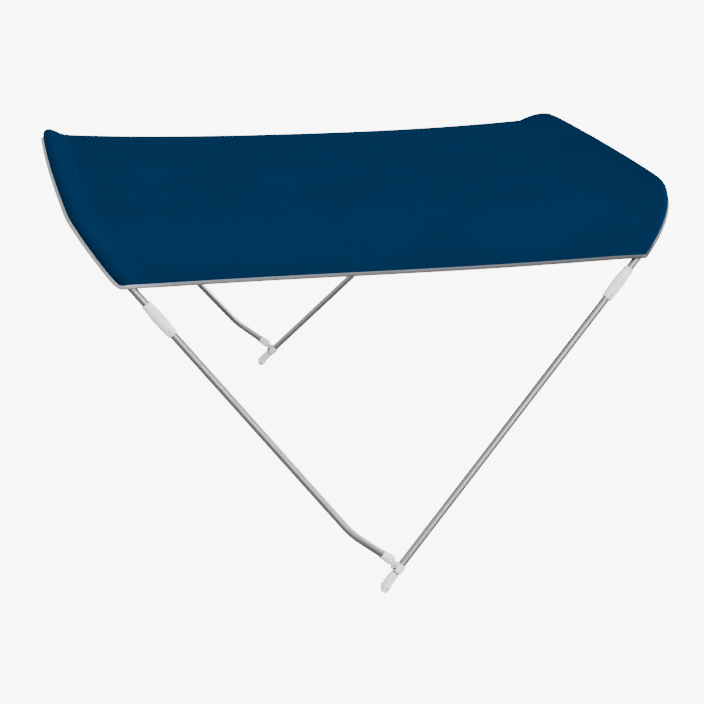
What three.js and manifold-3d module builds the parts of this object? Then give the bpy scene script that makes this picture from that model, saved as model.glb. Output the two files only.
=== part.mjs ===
// Two-bow bimini top: a stretched cloth canopy with bound edges on a folding tube frame.
// Units are millimetres and +Z is up. The origin is midway between the two hinge pins that the
// main bow stands on. +X points to the main bow's end, and the frame is mirrored about y = 0.
import * as THREE from 'three';
import { mergeVertices } from 'three/addons/utils/BufferGeometryUtils.js';
import Module from 'manifold-3d';

const wasm = await Module();
wasm.setup();

// Driving dimensions of the frame
const TUBE_RADIUS = 11;
const BORE_RADIUS = 11.6;
const GAP = 0.3;
const CLAMP_HALF_SPAN = 960.5;
const MAIN_LEAN_DEG = 44.1;
const SECOND_LEAN_DEG = -38.7;
const MAIN_SLEEVE_UP = 1050;
const SECOND_SLEEVE_UP = 814;
const SLEEVE_LENGTH = 112;
const BEND_BACK = 139;
const BEND_UP = 123;
const BEND_RADIUS = 70;

// Eye end: distances run down its axis from the mouth of the socket
const EYE_BODY_LENGTH = 40;
const EYE_SOCKET_DEPTH = 34;
const EYE_TOP_RADIUS = 13.3;
const EYE_FOOT_RADIUS = 14.4;
const EYE_PIN_ALONG = 52;
const EYE_PIN_SIDE = 5;
const DECK_PIN_HOLE_RADIUS = 4.3;
const JAW_PIN_HOLE_RADIUS = 3.3;
const TONGUE_THICKNESS = 8;
const EYE_MOUTH_BELOW_CLAMP = 19;

// Jaw slide: x runs down the main leg and y away from the second bow, from the ring's centre
const JAW_TOP = -13;
const JAW_FOOT = 14;
const JAW_RADIUS = 15.6;
const JAW_HALF_THICKNESS = 8.6;
const HINGE_ALONG = -1;
const HINGE_SIDE = -20;
const CLAMP_BOLT_ALONG = 9;
const CLAMP_BOLT_SIDE = -15;

// Canopy cloth and the tape that binds its edges
const CLOTH = 2;
const POCKET_CLEARANCE = 1.2;
const SEAM_FROM_TUBE = 50;
const SEAM_DROP = 7;
const SHOULDER_SAG = 31;
const CROWN_SAG = 27;
const HEM_HOLLOW = 4;
const TAPE_WIDTH = 11;
const TAPE_THICKNESS = 6;
const BAR_STEPS = 5;
const FLAP_STEPS = 12;
const SPAN_STEPS = 13;
const POCKET_STEPS = 10;

const rad = THREE.MathUtils.degToRad;
const V = (x, y, z) => new THREE.Vector3(x, y, z);
const along = (start, direction, distance) => start.clone().addScaledVector(direction, distance);
const mix = (a, b, share) => a.clone().lerp(b, share);

const finishes = {
  cloth: { color: 0x0d3a5c, roughness: 0.85, metalness: 0 },
  tape: { color: 0x9a9a98, roughness: 0.8, metalness: 0 },
  tube: { color: 0xb9bcc0, roughness: 0.35, metalness: 0.9 },
  nylon: { color: 0xe4e4e2, roughness: 0.45, metalness: 0 },
  screw: { color: 0x8d9094, roughness: 0.3, metalness: 1 },
};

const part = new THREE.Group();

// Joins equal corners, drops flat faces and turns the faces outwards
function closed(geometry) {
  const bare = geometry.clone();
  bare.deleteAttribute('normal');
  bare.deleteAttribute('uv');
  const merged = mergeVertices(bare, 1e-3);
  const index = merged.index.array;
  const position = merged.attributes.position;
  const corner = (i) => V().fromBufferAttribute(position, i);
  const kept = [];
  let volume = 0;
  for (let i = 0; i < index.length; i += 3) {
    const [a, b, c] = [index[i], index[i + 1], index[i + 2]];
    if (a === b || b === c || c === a) continue;
    kept.push(a, b, c);
    volume += corner(a).dot(corner(b).cross(corner(c)));
  }
  if (volume < 0) kept.reverse();
  merged.setIndex(kept);
  return merged;
}

function toManifold(geometry) {
  const solid = closed(geometry);
  return new wasm.Manifold(new wasm.Mesh({
    numProp: 3,
    vertProperties: new Float32Array(solid.attributes.position.array),
    triVerts: new Uint32Array(solid.index.array),
  }));
}

function toGeometry(manifold) {
  const mesh = manifold.getMesh();
  const geometry = new THREE.BufferGeometry();
  geometry.setAttribute('position', new THREE.BufferAttribute(new Float32Array(mesh.vertProperties), 3));
  geometry.setIndex(new THREE.BufferAttribute(new Uint32Array(mesh.triVerts), 1));
  return geometry;
}

function addPiece(name, geometry, finish, matrix) {
  const mesh = new THREE.Mesh(closed(geometry), new THREE.MeshStandardMaterial(finishes[finish]));
  mesh.name = name;
  if (matrix) mesh.applyMatrix4(matrix);
  part.add(mesh);
}

// A round bar or hole with its axis along one direction, centred on a point
function cylinder(radius, length, axis, centre, sides = 16) {
  const turn = new THREE.Quaternion().setFromUnitVectors(V(0, 1, 0), axis.clone().normalize());
  return new THREE.CylinderGeometry(radius, radius, length, sides).applyQuaternion(turn)
    .translate(centre.x, centre.y, centre.z);
}

// A turned piece whose profile gives [distance along local x, radius]
function turned(profile, sides = 16) {
  const points = profile.map(([x, radius]) => new THREE.Vector2(radius, x));
  return new THREE.LatheGeometry(points, sides).rotateZ(-Math.PI / 2);
}

function tubeAlong(curve, steps, sides = 12) {
  const outline = [];
  for (let i = 0; i < sides; i += 1) {
    const angle = (2 * Math.PI * i) / sides;
    outline.push(new THREE.Vector2(TUBE_RADIUS * Math.cos(angle), TUBE_RADIUS * Math.sin(angle)));
  }
  return new THREE.ExtrudeGeometry(new THREE.Shape(outline), { steps, extrudePath: curve });
}

// Bows: each lies in a plane that leans from upright, above its own foot line.
// A place on a bow is a distance from the middle of its crossbar, and sideways is -1 or 1.
const mainLean = rad(MAIN_LEAN_DEG);
const secondLean = rad(SECOND_LEAN_DEG);
const mainBow = {
  lean: mainLean, footX: 0, footZ: 0, height: 1350, shoulderHalf: 683, corner: 280, crown: 5,
  hemHeight: 1132, pocket: 15, flare: 0, outward: 1,
};
const secondBow = {
  lean: secondLean, footX: 0, footZ: 0, height: 1119, shoulderHalf: 686.5, corner: 250, crown: 14,
  hemHeight: 911, pocket: 16.5, flare: 6, outward: -1,
};

function legDirection(bow, side) {
  const inward = CLAMP_HALF_SPAN - bow.shoulderHalf;
  return V(bow.height * Math.sin(bow.lean), -side * inward, bow.height * Math.cos(bow.lean)).normalize();
}

// The hinge pins lie on the line x = 0, z = 0, which settles where the clamps and the feet are
const legUpAtPin = legDirection(mainBow, -1);
const awayFromSecond = V(Math.cos(mainLean), 0, -Math.sin(mainLean));
const pinBelowClamp = EYE_MOUTH_BELOW_CLAMP + EYE_PIN_ALONG;
const CLAMP_X = legUpAtPin.x * pinBelowClamp - awayFromSecond.x * EYE_PIN_SIDE;
const CLAMP_Z = legUpAtPin.z * pinBelowClamp - awayFromSecond.z * EYE_PIN_SIDE;
mainBow.footX = CLAMP_X;
mainBow.footZ = CLAMP_Z;
secondBow.footX = CLAMP_X - BEND_BACK;
secondBow.footZ = CLAMP_Z + BEND_UP;

for (const bow of [mainBow, secondBow]) {
  bow.splay = Math.atan2(CLAMP_HALF_SPAN - bow.shoulderHalf, bow.height);
  bow.turn = Math.PI / 2 - bow.splay;
  bow.halfBar = bow.shoulderHalf - bow.corner * Math.tan(bow.turn / 2);
  bow.arc = bow.corner * bow.turn;
  const legTop = bow.height - bow.corner + bow.corner * Math.cos(bow.turn);
  bow.hemDistance = bow.hemHeight > legTop
    ? bow.halfBar + bow.corner * Math.acos((bow.hemHeight - bow.height + bow.corner) / bow.corner)
    : bow.halfBar + bow.arc + (legTop - bow.hemHeight) / Math.cos(bow.splay);
}

function onBow(bow, distance) {
  const side = Math.sign(distance) || 1;
  const d = Math.abs(distance);
  let y = d;
  let s = bow.height + bow.crown * (1 - (d / bow.halfBar) ** 2);
  if (d > bow.halfBar) {
    const angle = Math.min((d - bow.halfBar) / bow.corner, bow.turn);
    const down = Math.max(0, d - bow.halfBar - bow.arc);
    y = bow.halfBar + bow.corner * Math.sin(angle) + down * Math.sin(bow.splay);
    s = bow.height - bow.corner + bow.corner * Math.cos(angle) - down * Math.cos(bow.splay);
  }
  return V(bow.footX + s * Math.sin(bow.lean), side * y, bow.footZ + s * Math.cos(bow.lean));
}

// The distance along a bow of a height on its leg, measured up the leg from the foot
function distanceOfLegPoint(bow, upLeg) {
  const legTop = bow.height - bow.corner + bow.corner * Math.cos(bow.turn);
  return bow.halfBar + bow.arc + legTop / Math.cos(bow.splay) - upLeg;
}

class BowCurve extends THREE.Curve {
  constructor(bow, end) {
    super();
    this.bow = bow;
    this.end = end;
  }

  getPoint(t) {
    return onBow(this.bow, (2 * t - 1) * this.end);
  }
}

// Canopy rows: row k crosses the cloth from the second bow to the main bow, k = 0 at the crown
const LAST_ROW = BAR_STEPS + FLAP_STEPS;

function rowDistance(bow, k) {
  const n = Math.abs(k);
  const flap = bow.hemDistance - bow.halfBar;
  const d = n <= BAR_STEPS ? (bow.halfBar * n) / BAR_STEPS : bow.halfBar + (flap * (n - BAR_STEPS)) / FLAP_STEPS;
  return Math.sign(k) * d;
}

function rowFrame(k) {
  const frame = { k };
  const bows = { main: mainBow, second: secondBow };
  for (const [name, bow] of Object.entries(bows)) {
    const tube = onBow(bow, rowDistance(bow, k));
    const tangent = onBow(bow, rowDistance(bow, k + 0.02)).sub(onBow(bow, rowDistance(bow, k - 0.02)));
    frame[name] = { bow, tube, tangent: tangent.normalize() };
  }
  const across = frame.main.tube.clone().sub(frame.second.tube).normalize();
  for (const end of [frame.main, frame.second]) {
    end.normal = across.clone().cross(end.tangent).normalize();
    const square = along(across, end.tangent, -across.dot(end.tangent)).normalize();
    end.square = square.multiplyScalar(end.bow.outward);
    end.outboard = across.clone().multiplyScalar(1 / across.dot(end.square));
  }
  frame.flapShare = THREE.MathUtils.clamp((Math.abs(k) - BAR_STEPS) / FLAP_STEPS, 0, 1);
  frame.across = across;
  return frame;
}

// How far the pocket at a row is wider than at the crown, towards the free corner of the flap
function flareAt(bow, frame) {
  return bow.flare * THREE.MathUtils.clamp((frame.flapShare - 0.35) / 0.5, 0, 1);
}

// The pocket section, from the seam on top, round the tube, to the seam underneath.
// a runs outboard and b along the cloth's normal; the tube lies against its outer upper side.
function pocketSection(bow, frame) {
  const radius = bow.pocket;
  const seat = (radius - CLOTH / 2 - TUBE_RADIUS - POCKET_CLEARANCE) * Math.SQRT1_2;
  const centre = new THREE.Vector2(-seat, -seat);
  const stretch = (radius + flareAt(bow, frame)) / radius;
  const top = new THREE.Vector2(-SEAM_FROM_TUBE, -SEAM_DROP);
  const underneath = new THREE.Vector2(-SEAM_FROM_TUBE, -SEAM_DROP - CLOTH - GAP);
  const tangentAngle = (seam, turnSign) => {
    const toSeam = seam.clone().sub(centre);
    return Math.atan2(toSeam.y, toSeam.x) + 2 * Math.PI * (toSeam.y < 0)
      + turnSign * Math.acos(radius / toSeam.length());
  };
  const first = tangentAngle(top, -1);
  const last = tangentAngle(underneath, 1) - 2 * Math.PI;
  const section = [];
  for (let i = 0; i <= POCKET_STEPS; i += 1) {
    const angle = first + ((last - first) * i) / POCKET_STEPS;
    const normal = new THREE.Vector2(Math.cos(angle), Math.sin(angle));
    const point = normal.clone().multiplyScalar(radius).add(centre);
    if (normal.x > 0) point.x = centre.x + radius * normal.x * stretch;
    section.push({ point, normal });
  }
  const panelNormal = new THREE.Vector2(0, 1);
  section.unshift({ point: top, normal: section[0].normal.clone().add(panelNormal).normalize() });
  section.push({ point: underneath, normal: section[section.length - 1].normal.clone() });
  return section;
}

function pocketPoints(end, frame) {
  return pocketSection(end.bow, frame).map(({ point, normal }) => {
    const face = (reach) => along(
      along(end.tube, end.outboard, point.x + reach * normal.x),
      end.normal,
      point.y + reach * normal.y,
    );
    return { outer: face(CLOTH / 2), inner: face(-CLOTH / 2), middle: face(0), normal: end.normal };
  });
}

function sagAt(frame) {
  const n = Math.abs(frame.k);
  if (n <= BAR_STEPS) return CROWN_SAG + (SHOULDER_SAG - CROWN_SAG) * (n / BAR_STEPS) ** 2;
  return SHOULDER_SAG * (1 - frame.flapShare);
}

// One row of the cloth: both faces and the middle, from the second bow's pocket to the main bow's
function clothRow(k) {
  const frame = rowFrame(k);
  const left = pocketPoints(frame.second, frame).reverse();
  const right = pocketPoints(frame.main, frame);
  const start = left[left.length - 1].middle;
  const finish = right[0].middle;
  const span = [];
  for (let i = 1; i < SPAN_STEPS; i += 1) {
    const u = i / SPAN_STEPS;
    const normal = mix(frame.second.normal, frame.main.normal, u).normalize();
    const tangent = mix(frame.second.tangent, frame.main.tangent, u).normalize();
    const bulge = 1 - Math.abs(2 * u - 1) ** 2.4;
    const hollow = HEM_HOLLOW * 4 * u * (1 - u) * frame.flapShare ** 4 * -Math.sign(k);
    const middle = along(along(mix(start, finish, u), normal, -sagAt(frame) * bulge), tangent, hollow);
    span.push({
      middle, normal, outer: along(middle, normal, CLOTH / 2), inner: along(middle, normal, -CLOTH / 2),
    });
  }
  return { frame, points: [...left, ...span, ...right] };
}

const rows = [];
for (let k = -LAST_ROW; k <= LAST_ROW; k += 1) rows.push(clothRow(k));

// A closed solid from a grid of cells: the outer face, the inner face and the rim between them
function sheetSolid(grid) {
  const height = grid.length;
  const width = grid[0].length;
  const corners = [];
  for (const line of grid) line.forEach((cell) => corners.push(...cell.outer.toArray(), ...cell.inner.toArray()));
  const at = (i, j, face) => 2 * (i * width + j) + face;
  const faces = [];
  const quad = (a, b, c, d) => faces.push(a, b, c, a, c, d);
  for (let i = 0; i + 1 < height; i += 1) {
    for (let j = 0; j + 1 < width; j += 1) {
      quad(at(i, j, 0), at(i, j + 1, 0), at(i + 1, j + 1, 0), at(i + 1, j, 0));
      quad(at(i, j, 1), at(i + 1, j, 1), at(i + 1, j + 1, 1), at(i, j + 1, 1));
    }
  }
  for (let j = 0; j + 1 < width; j += 1) {
    quad(at(0, j, 1), at(0, j + 1, 1), at(0, j + 1, 0), at(0, j, 0));
    quad(at(height - 1, j, 0), at(height - 1, j + 1, 0), at(height - 1, j + 1, 1), at(height - 1, j, 1));
  }
  for (let i = 0; i + 1 < height; i += 1) {
    quad(at(i, 0, 0), at(i + 1, 0, 0), at(i + 1, 0, 1), at(i, 0, 1));
    quad(at(i, width - 1, 1), at(i + 1, width - 1, 1), at(i + 1, width - 1, 0), at(i, width - 1, 0));
  }
  const geometry = new THREE.BufferGeometry();
  geometry.setAttribute('position', new THREE.Float32BufferAttribute(corners, 3));
  geometry.setIndex(faces);
  return geometry;
}

// A closed solid through equal rings of corners, with a flat fan over each end
function ringSolid(rings) {
  const sides = rings[0].length;
  const corners = rings.flat().flatMap((point) => point.toArray());
  const faces = [];
  for (let i = 0; i + 1 < rings.length; i += 1) {
    for (let j = 0; j < sides; j += 1) {
      const next = (j + 1) % sides;
      const [a, b] = [i * sides + j, i * sides + next];
      faces.push(a, b, b + sides, a, b + sides, a + sides);
    }
  }
  const lastRing = (rings.length - 1) * sides;
  for (let j = 1; j + 1 < sides; j += 1) {
    faces.push(0, j + 1, j);
    faces.push(lastRing, lastRing + j, lastRing + j + 1);
  }
  const geometry = new THREE.BufferGeometry();
  geometry.setAttribute('position', new THREE.Float32BufferAttribute(corners, 3));
  geometry.setIndex(faces);
  return geometry;
}

// The tape's rounded section, as [share of half the width, share of half the thickness]
const TAPE_SECTION = [
  [1, 0.45], [0.6, 1], [-0.6, 1], [-1, 0.45], [-1, -0.45], [-0.6, -1], [0.6, -1], [1, -0.45],
];

function tapeRing(centre, wide, thick, share = 1) {
  return TAPE_SECTION.map(([w, t]) => along(
    along(centre, wide, (share * w * TAPE_WIDTH) / 2),
    thick,
    (share * t * TAPE_THICKNESS) / 2,
  ));
}

// Tape along a bow: it stands out square to the bow's plane from the pocket's outer fold.
// Each ring is slid along the tube so that it ends in the same cut as the cloth.
function bowTape(which) {
  const rings = rows.map(({ frame }) => {
    const end = frame[which];
    const bow = end.bow;
    const outward = V(bow.outward * Math.cos(bow.lean), 0, -bow.outward * Math.sin(bow.lean));
    const facing = new THREE.Vector2(outward.dot(end.square), outward.dot(end.normal));
    const folds = pocketSection(bow, frame).map(({ point, normal }) => (
      along(V(point.x, point.y, 0), V(normal.x, normal.y, 0), CLOTH / 2).dot(V(facing.x, facing.y, 0))
    ));
    const reach = Math.max(...folds) + GAP + TAPE_WIDTH / 2;
    const thick = outward.clone().cross(end.tangent).normalize();
    const cut = frame.across.clone().cross(end.normal);
    return tapeRing(along(end.tube, outward, reach), outward, thick).map((point) => {
      const offCut = point.clone().sub(end.tube).dot(cut) / end.tangent.dot(cut);
      return along(point, end.tangent, -offCut);
    });
  });
  return ringSolid(rings);
}

// Tape along a hem: it hangs below the cloth's cut edge, from one bow's tape to the other's
function hemTape(side) {
  const row = side < 0 ? rows[0] : rows[rows.length - 1];
  const above = side < 0 ? rows[1] : rows[rows.length - 2];
  const half = (POCKET_STEPS + 2) / 2;
  const cells = row.points.map((cell, j) => {
    const down = cell.middle.clone().sub(above.points[j].middle).normalize();
    return { middle: cell.middle, down, normal: cell.normal };
  }).slice(half, row.points.length - half);
  const tip = (end) => {
    const bow = end.bow;
    const down = end.tangent.clone().multiplyScalar(side);
    const reach = bow.pocket + flareAt(bow, row.frame) + TAPE_WIDTH + CLOTH / 2;
    return { middle: along(end.tube, end.outboard, reach), down, normal: end.normal };
  };
  const path = [tip(row.frame.second), ...cells, tip(row.frame.main)];
  const rings = path.map((cell, i) => {
    const last = i === 0 || i === path.length - 1;
    const share = last ? 0.8 : 1;
    const drop = GAP + (share * TAPE_WIDTH) / 2 + 0.2;
    const centre = along(along(cell.middle, cell.down, drop), cell.normal, 1.5);
    return tapeRing(centre, cell.down, cell.normal, share);
  });
  return ringSolid(rings);
}

addPiece('canopy_cloth', sheetSolid(rows.map((row) => row.points)), 'cloth');
addPiece('binding_main_bow', bowTape('main'), 'tape');
addPiece('binding_second_bow', bowTape('second'), 'tape');
addPiece('binding_hem_right', hemTape(-1), 'tape');
addPiece('binding_hem_left', hemTape(1), 'tape');

// Upper bows: one bent tube each, from sleeve to sleeve
addPiece('main_bow_tube', tubeAlong(
  new BowCurve(mainBow, distanceOfLegPoint(mainBow, MAIN_SLEEVE_UP) - GAP), 46), 'tube');
addPiece('second_bow_tube', tubeAlong(
  new BowCurve(secondBow, distanceOfLegPoint(secondBow, SECOND_SLEEVE_UP) - GAP), 46), 'tube');

// The barrel sleeve that joins the upper bow to its leg; x runs up the leg from its middle
const SLEEVE_PROFILE = [
  [-0.5, 13.2], [-0.47, 14], [-0.25, 16.2], [0, 17], [0.25, 16.2], [0.42, 14], [0.43, 14.8], [0.49, 14.8], [0.5, 14],
];
const SCREW_ALONG = -0.38 * SLEEVE_LENGTH;
const SCREW_SEAT = 15.6;

function sleeve() {
  const profile = SLEEVE_PROFILE.map(([x, radius]) => [x * SLEEVE_LENGTH, radius]);
  const half = SLEEVE_LENGTH / 2;
  profile.push([half, BORE_RADIUS], [-half, BORE_RADIUS], profile[0]);
  const hole = cylinder(2.1, 20, V(0, 0, 1), V(SCREW_ALONG, 0, 20), 10);
  return toGeometry(toManifold(turned(profile)).subtract(toManifold(hole)));
}

function sleeveScrew() {
  const bottom = TUBE_RADIUS + GAP;
  const seat = SCREW_SEAT;
  return turned([[bottom, 0], [bottom, 1.7], [seat, 1.7], [seat, 4.2], [seat + 1.6, 3.4], [seat + 1.6, 0]], 10)
    .rotateY(-Math.PI / 2).translate(SCREW_ALONG, 0, 0);
}

// The eye end: a socket cap over the tube with a tongue that leans off its axis to the pin hole
function eyeEnd(withCollar) {
  const body = turned([
    [0, EYE_TOP_RADIUS], [EYE_BODY_LENGTH - 6, EYE_FOOT_RADIUS], [EYE_BODY_LENGTH, EYE_FOOT_RADIUS - 5.5],
    [EYE_BODY_LENGTH, 0], [EYE_SOCKET_DEPTH, 0], [EYE_SOCKET_DEPTH, BORE_RADIUS], [0, BORE_RADIUS],
    [0, EYE_TOP_RADIUS],
  ], 18);
  const tipRadius = withCollar ? 10 : 6;
  const rootRadius = 9;
  const root = new THREE.Vector2(EYE_BODY_LENGTH - 2, 0);
  const pin = new THREE.Vector2(EYE_PIN_ALONG, EYE_PIN_SIDE);
  const outline = new THREE.Shape();
  const lean = Math.atan2(pin.y, pin.x - root.x);
  outline.moveTo(root.x, -rootRadius);
  outline.absarc(pin.x, pin.y, tipRadius, lean - Math.PI / 2, lean + Math.PI / 2, false);
  outline.lineTo(root.x, rootRadius);
  outline.closePath();
  const slab = new THREE.ExtrudeGeometry(outline, { depth: TONGUE_THICKNESS, bevelEnabled: false, curveSegments: 6 })
    .translate(0, 0, -TONGUE_THICKNESS / 2);
  let solid = toManifold(body).add(toManifold(slab));
  if (withCollar) {
    const rim = 16.6;
    const collar = turned([[-3, 0], [-3, rim - 3], [-1, rim], [2, rim], [4.5, rim - 5], [4.5, 0]], 18)
      .rotateZ(lean).translate(EYE_BODY_LENGTH + 3, 1.5, 0);
    solid = solid.add(toManifold(collar));
  }
  const holeRadius = withCollar ? DECK_PIN_HOLE_RADIUS : JAW_PIN_HOLE_RADIUS;
  const hole = cylinder(holeRadius, 40, V(0, 0, 1), V(pin.x, pin.y, 0), 16);
  return toGeometry(solid.subtract(toManifold(hole)));
}

// The jaw slide: a clamp ring on the main leg with a fork for the second bow's eye
function jawSlide() {
  const ring = cylinder(JAW_RADIUS, JAW_FOOT - JAW_TOP, V(1, 0, 0), V((JAW_TOP + JAW_FOOT) / 2, 0, 0), 18);
  const block = new THREE.Shape();
  block.moveTo(JAW_FOOT, -9);
  block.lineTo(JAW_FOOT, CLAMP_BOLT_SIDE - 3);
  block.lineTo(HINGE_ALONG + 7, HINGE_SIDE - 4);
  block.absarc(HINGE_ALONG, HINGE_SIDE, 8, -0.5, -Math.PI + 0.3, true);
  block.lineTo(JAW_TOP, -9);
  block.closePath();
  const fork = new THREE.ExtrudeGeometry(block, {
    depth: 2 * JAW_HALF_THICKNESS, bevelEnabled: false, curveSegments: 6,
  }).translate(0, 0, -JAW_HALF_THICKNESS);
  const slotWidth = TONGUE_THICKNESS + 0.8;
  const slotLength = 20;
  const slotEnd = HINGE_ALONG + 6.8;
  const slot = new THREE.BoxGeometry(slotLength, 20, slotWidth)
    .translate(slotEnd - slotLength / 2, HINGE_SIDE + 6.8 - 10, 0);
  const bore = cylinder(BORE_RADIUS, 60, V(1, 0, 0), V(0, 0, 0), 18);
  const hinge = cylinder(3.2, 40, V(0, 0, 1), V(HINGE_ALONG, HINGE_SIDE, 0), 12);
  const bolt = cylinder(2.4, 40, V(0, 0, 1), V(CLAMP_BOLT_ALONG, CLAMP_BOLT_SIDE, 0), 10);
  const spotFace = (side) => cylinder(4.6, 10, V(0, 0, 1),
    V(CLAMP_BOLT_ALONG, CLAMP_BOLT_SIDE, side * (JAW_HALF_THICKNESS + 5)), 14);
  let solid = toManifold(ring).add(toManifold(fork));
  for (const cut of [slot, bore, hinge, bolt, spotFace(-1), spotFace(1)]) {
    solid = solid.subtract(toManifold(cut));
  }
  return toGeometry(solid);
}

// A through screw along z: a head at one end and a nut at the other, clear of the faces it holds
function throughScrew(shank, head, thickness, place) {
  const seat = JAW_HALF_THICKNESS + GAP;
  const profile = [
    [-seat - thickness, 0], [-seat - thickness, head * 0.85], [-seat, head], [-seat, shank],
    [seat, shank], [seat, head], [seat + thickness, head * 0.85], [seat + thickness, 0],
  ];
  return turned(profile, 10).rotateY(-Math.PI / 2).translate(place.x, place.y, 0);
}

function placed(origin, x, y) {
  const z = x.clone().cross(y).normalize();
  return new THREE.Matrix4().makeBasis(x, y, z).setPosition(origin);
}

const sides = { right: -1, left: 1 };
for (const [sideName, side] of Object.entries(sides)) {
  const mainUp = legDirection(mainBow, side);
  const mainDown = mainUp.clone().negate();
  const clamp = V(CLAMP_X, side * CLAMP_HALF_SPAN, CLAMP_Z);
  const jawFrame = placed(clamp, mainDown, awayFromSecond);

  // Main leg: straight, from the eye socket to the sleeve's middle
  const mainMouth = along(clamp, mainDown, EYE_MOUTH_BELOW_CLAMP);
  const mainStart = along(mainMouth, mainDown, EYE_SOCKET_DEPTH - GAP);
  const mainTop = along(clamp, mainUp, MAIN_SLEEVE_UP - GAP);
  addPiece(`main_leg_${sideName}`, tubeAlong(new THREE.LineCurve3(mainStart, mainTop), 1), 'tube');
  addPiece(`main_eye_${sideName}`, eyeEnd(true), 'nylon', placed(mainMouth, mainDown, awayFromSecond));
  addPiece(`jaw_slide_${sideName}`, jawSlide(), 'nylon', jawFrame);
  addPiece(`jaw_hinge_screw_${sideName}`,
    throughScrew(2.7, 5.5, 3, new THREE.Vector2(HINGE_ALONG, HINGE_SIDE)), 'screw', jawFrame);
  addPiece(`jaw_clamp_bolt_${sideName}`,
    throughScrew(1.9, 3.6, 3, new THREE.Vector2(CLAMP_BOLT_ALONG, CLAMP_BOLT_SIDE)), 'screw', jawFrame);

  // Second leg: its eye turns on the jaw's hinge, and the tube bends a little way above it
  const hinge = V(HINGE_ALONG, HINGE_SIDE, 0).applyMatrix4(jawFrame);
  const bend = V(secondBow.footX, side * CLAMP_HALF_SPAN, secondBow.footZ);
  const toHinge = hinge.clone().sub(bend);
  const offAxis = Math.asin(EYE_PIN_SIDE / toHinge.length());
  const square = mainDown.clone().sub(toHinge.clone().multiplyScalar(mainDown.dot(toHinge) / toHinge.lengthSq()));
  const lowerDown = toHinge.clone().normalize().multiplyScalar(Math.cos(offAxis))
    .addScaledVector(square.normalize(), -Math.sin(offAxis)).normalize();
  const lowerSide = square.addScaledVector(lowerDown, -square.dot(lowerDown)).normalize();
  const secondMouth = along(along(hinge, lowerDown, -EYE_PIN_ALONG), lowerSide, -EYE_PIN_SIDE);
  const secondUp = legDirection(secondBow, side);
  const secondStart = along(secondMouth, lowerDown, EYE_SOCKET_DEPTH - GAP);
  const secondTop = along(bend, secondUp, SECOND_SLEEVE_UP - GAP);
  const bendPath = new THREE.CurvePath();
  const bendIn = along(bend, lowerDown, BEND_RADIUS / 2);
  const bendOut = along(bend, secondUp, BEND_RADIUS / 2);
  bendPath.add(new THREE.LineCurve3(secondStart, bendIn));
  bendPath.add(new THREE.QuadraticBezierCurve3(bendIn, bend, bendOut));
  bendPath.add(new THREE.LineCurve3(bendOut, secondTop));
  addPiece(`second_leg_${sideName}`, tubeAlong(bendPath, 24), 'tube');
  addPiece(`second_eye_${sideName}`, eyeEnd(false), 'nylon', placed(secondMouth, lowerDown, lowerSide));

  // Sleeves, with a small screw on the outer side of each
  const joints = {
    main: { up: mainUp, middle: along(clamp, mainUp, MAIN_SLEEVE_UP) },
    second: { up: secondUp, middle: along(bend, secondUp, SECOND_SLEEVE_UP) },
  };
  for (const [bowName, joint] of Object.entries(joints)) {
    const outward = V(0, side, 0);
    outward.addScaledVector(joint.up, -outward.dot(joint.up)).normalize();
    const frame = placed(joint.middle, joint.up, outward.clone().cross(joint.up));
    addPiece(`${bowName}_sleeve_${sideName}`, sleeve(), 'nylon', frame);
    addPiece(`${bowName}_sleeve_screw_${sideName}`, sleeveScrew(), 'screw', frame);
  }
}

export default part;
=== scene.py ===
# %% [markdown]
# # A two-bow bimini top
# A bimini top is a sheet of canvas stretched between two bent tubes, called bows. The long main
# bow stands on its two feet, and the second bow is hinged on it just above them, so the whole
# frame folds flat. This lesson dresses the measured frame: it loads the solids, then builds the
# cloth, the tape, the tubes, the moulded fittings and the stitches, and gives each its finish.
# Lengths are in metres, +Z is up and the two sides mirror each other about y = 0.

# %% Load the measured frame
import math

import bmesh
import bpy
import numpy as np
from mathutils import Matrix, Vector


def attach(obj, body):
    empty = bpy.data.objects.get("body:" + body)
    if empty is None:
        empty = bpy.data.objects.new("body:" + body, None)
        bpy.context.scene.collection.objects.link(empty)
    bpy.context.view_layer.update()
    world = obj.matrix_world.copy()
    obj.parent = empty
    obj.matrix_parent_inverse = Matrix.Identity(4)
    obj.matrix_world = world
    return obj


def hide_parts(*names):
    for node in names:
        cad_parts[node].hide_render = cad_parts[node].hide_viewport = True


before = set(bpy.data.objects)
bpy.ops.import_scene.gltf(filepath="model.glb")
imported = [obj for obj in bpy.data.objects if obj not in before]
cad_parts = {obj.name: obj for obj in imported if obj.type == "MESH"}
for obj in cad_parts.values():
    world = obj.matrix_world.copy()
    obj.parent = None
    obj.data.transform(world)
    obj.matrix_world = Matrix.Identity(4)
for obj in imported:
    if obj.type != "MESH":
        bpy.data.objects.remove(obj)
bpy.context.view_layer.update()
MM = 0.001

# %% [markdown]
# The camera comes first, because every later choice is judged through it. It could be placed
# by eye, but lines as thin as these tubes show every error, so its place was solved from the
# joints and hems. A long lens keeps the far side of the frame nearly as large as the near side.

# %% Camera
CAMERA_PLACE = (-1.0918, -5.1881, 2.2810)
CAMERA_PITCH = math.radians(90 - 19.291)
CAMERA_YAW = math.radians(-13.818)
CAMERA_LENS, SENSOR_WIDTH = 86.704, 36


def link(thing):
    """Puts an object into the scene and hands it back."""
    bpy.context.scene.collection.objects.link(thing)
    return thing


def adjust(thing, **settings):
    """Gives a camera, light, modifier or node its settings and hands it back."""
    for key, value in settings.items():
        setattr(thing, key, value)
    return thing


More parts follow.
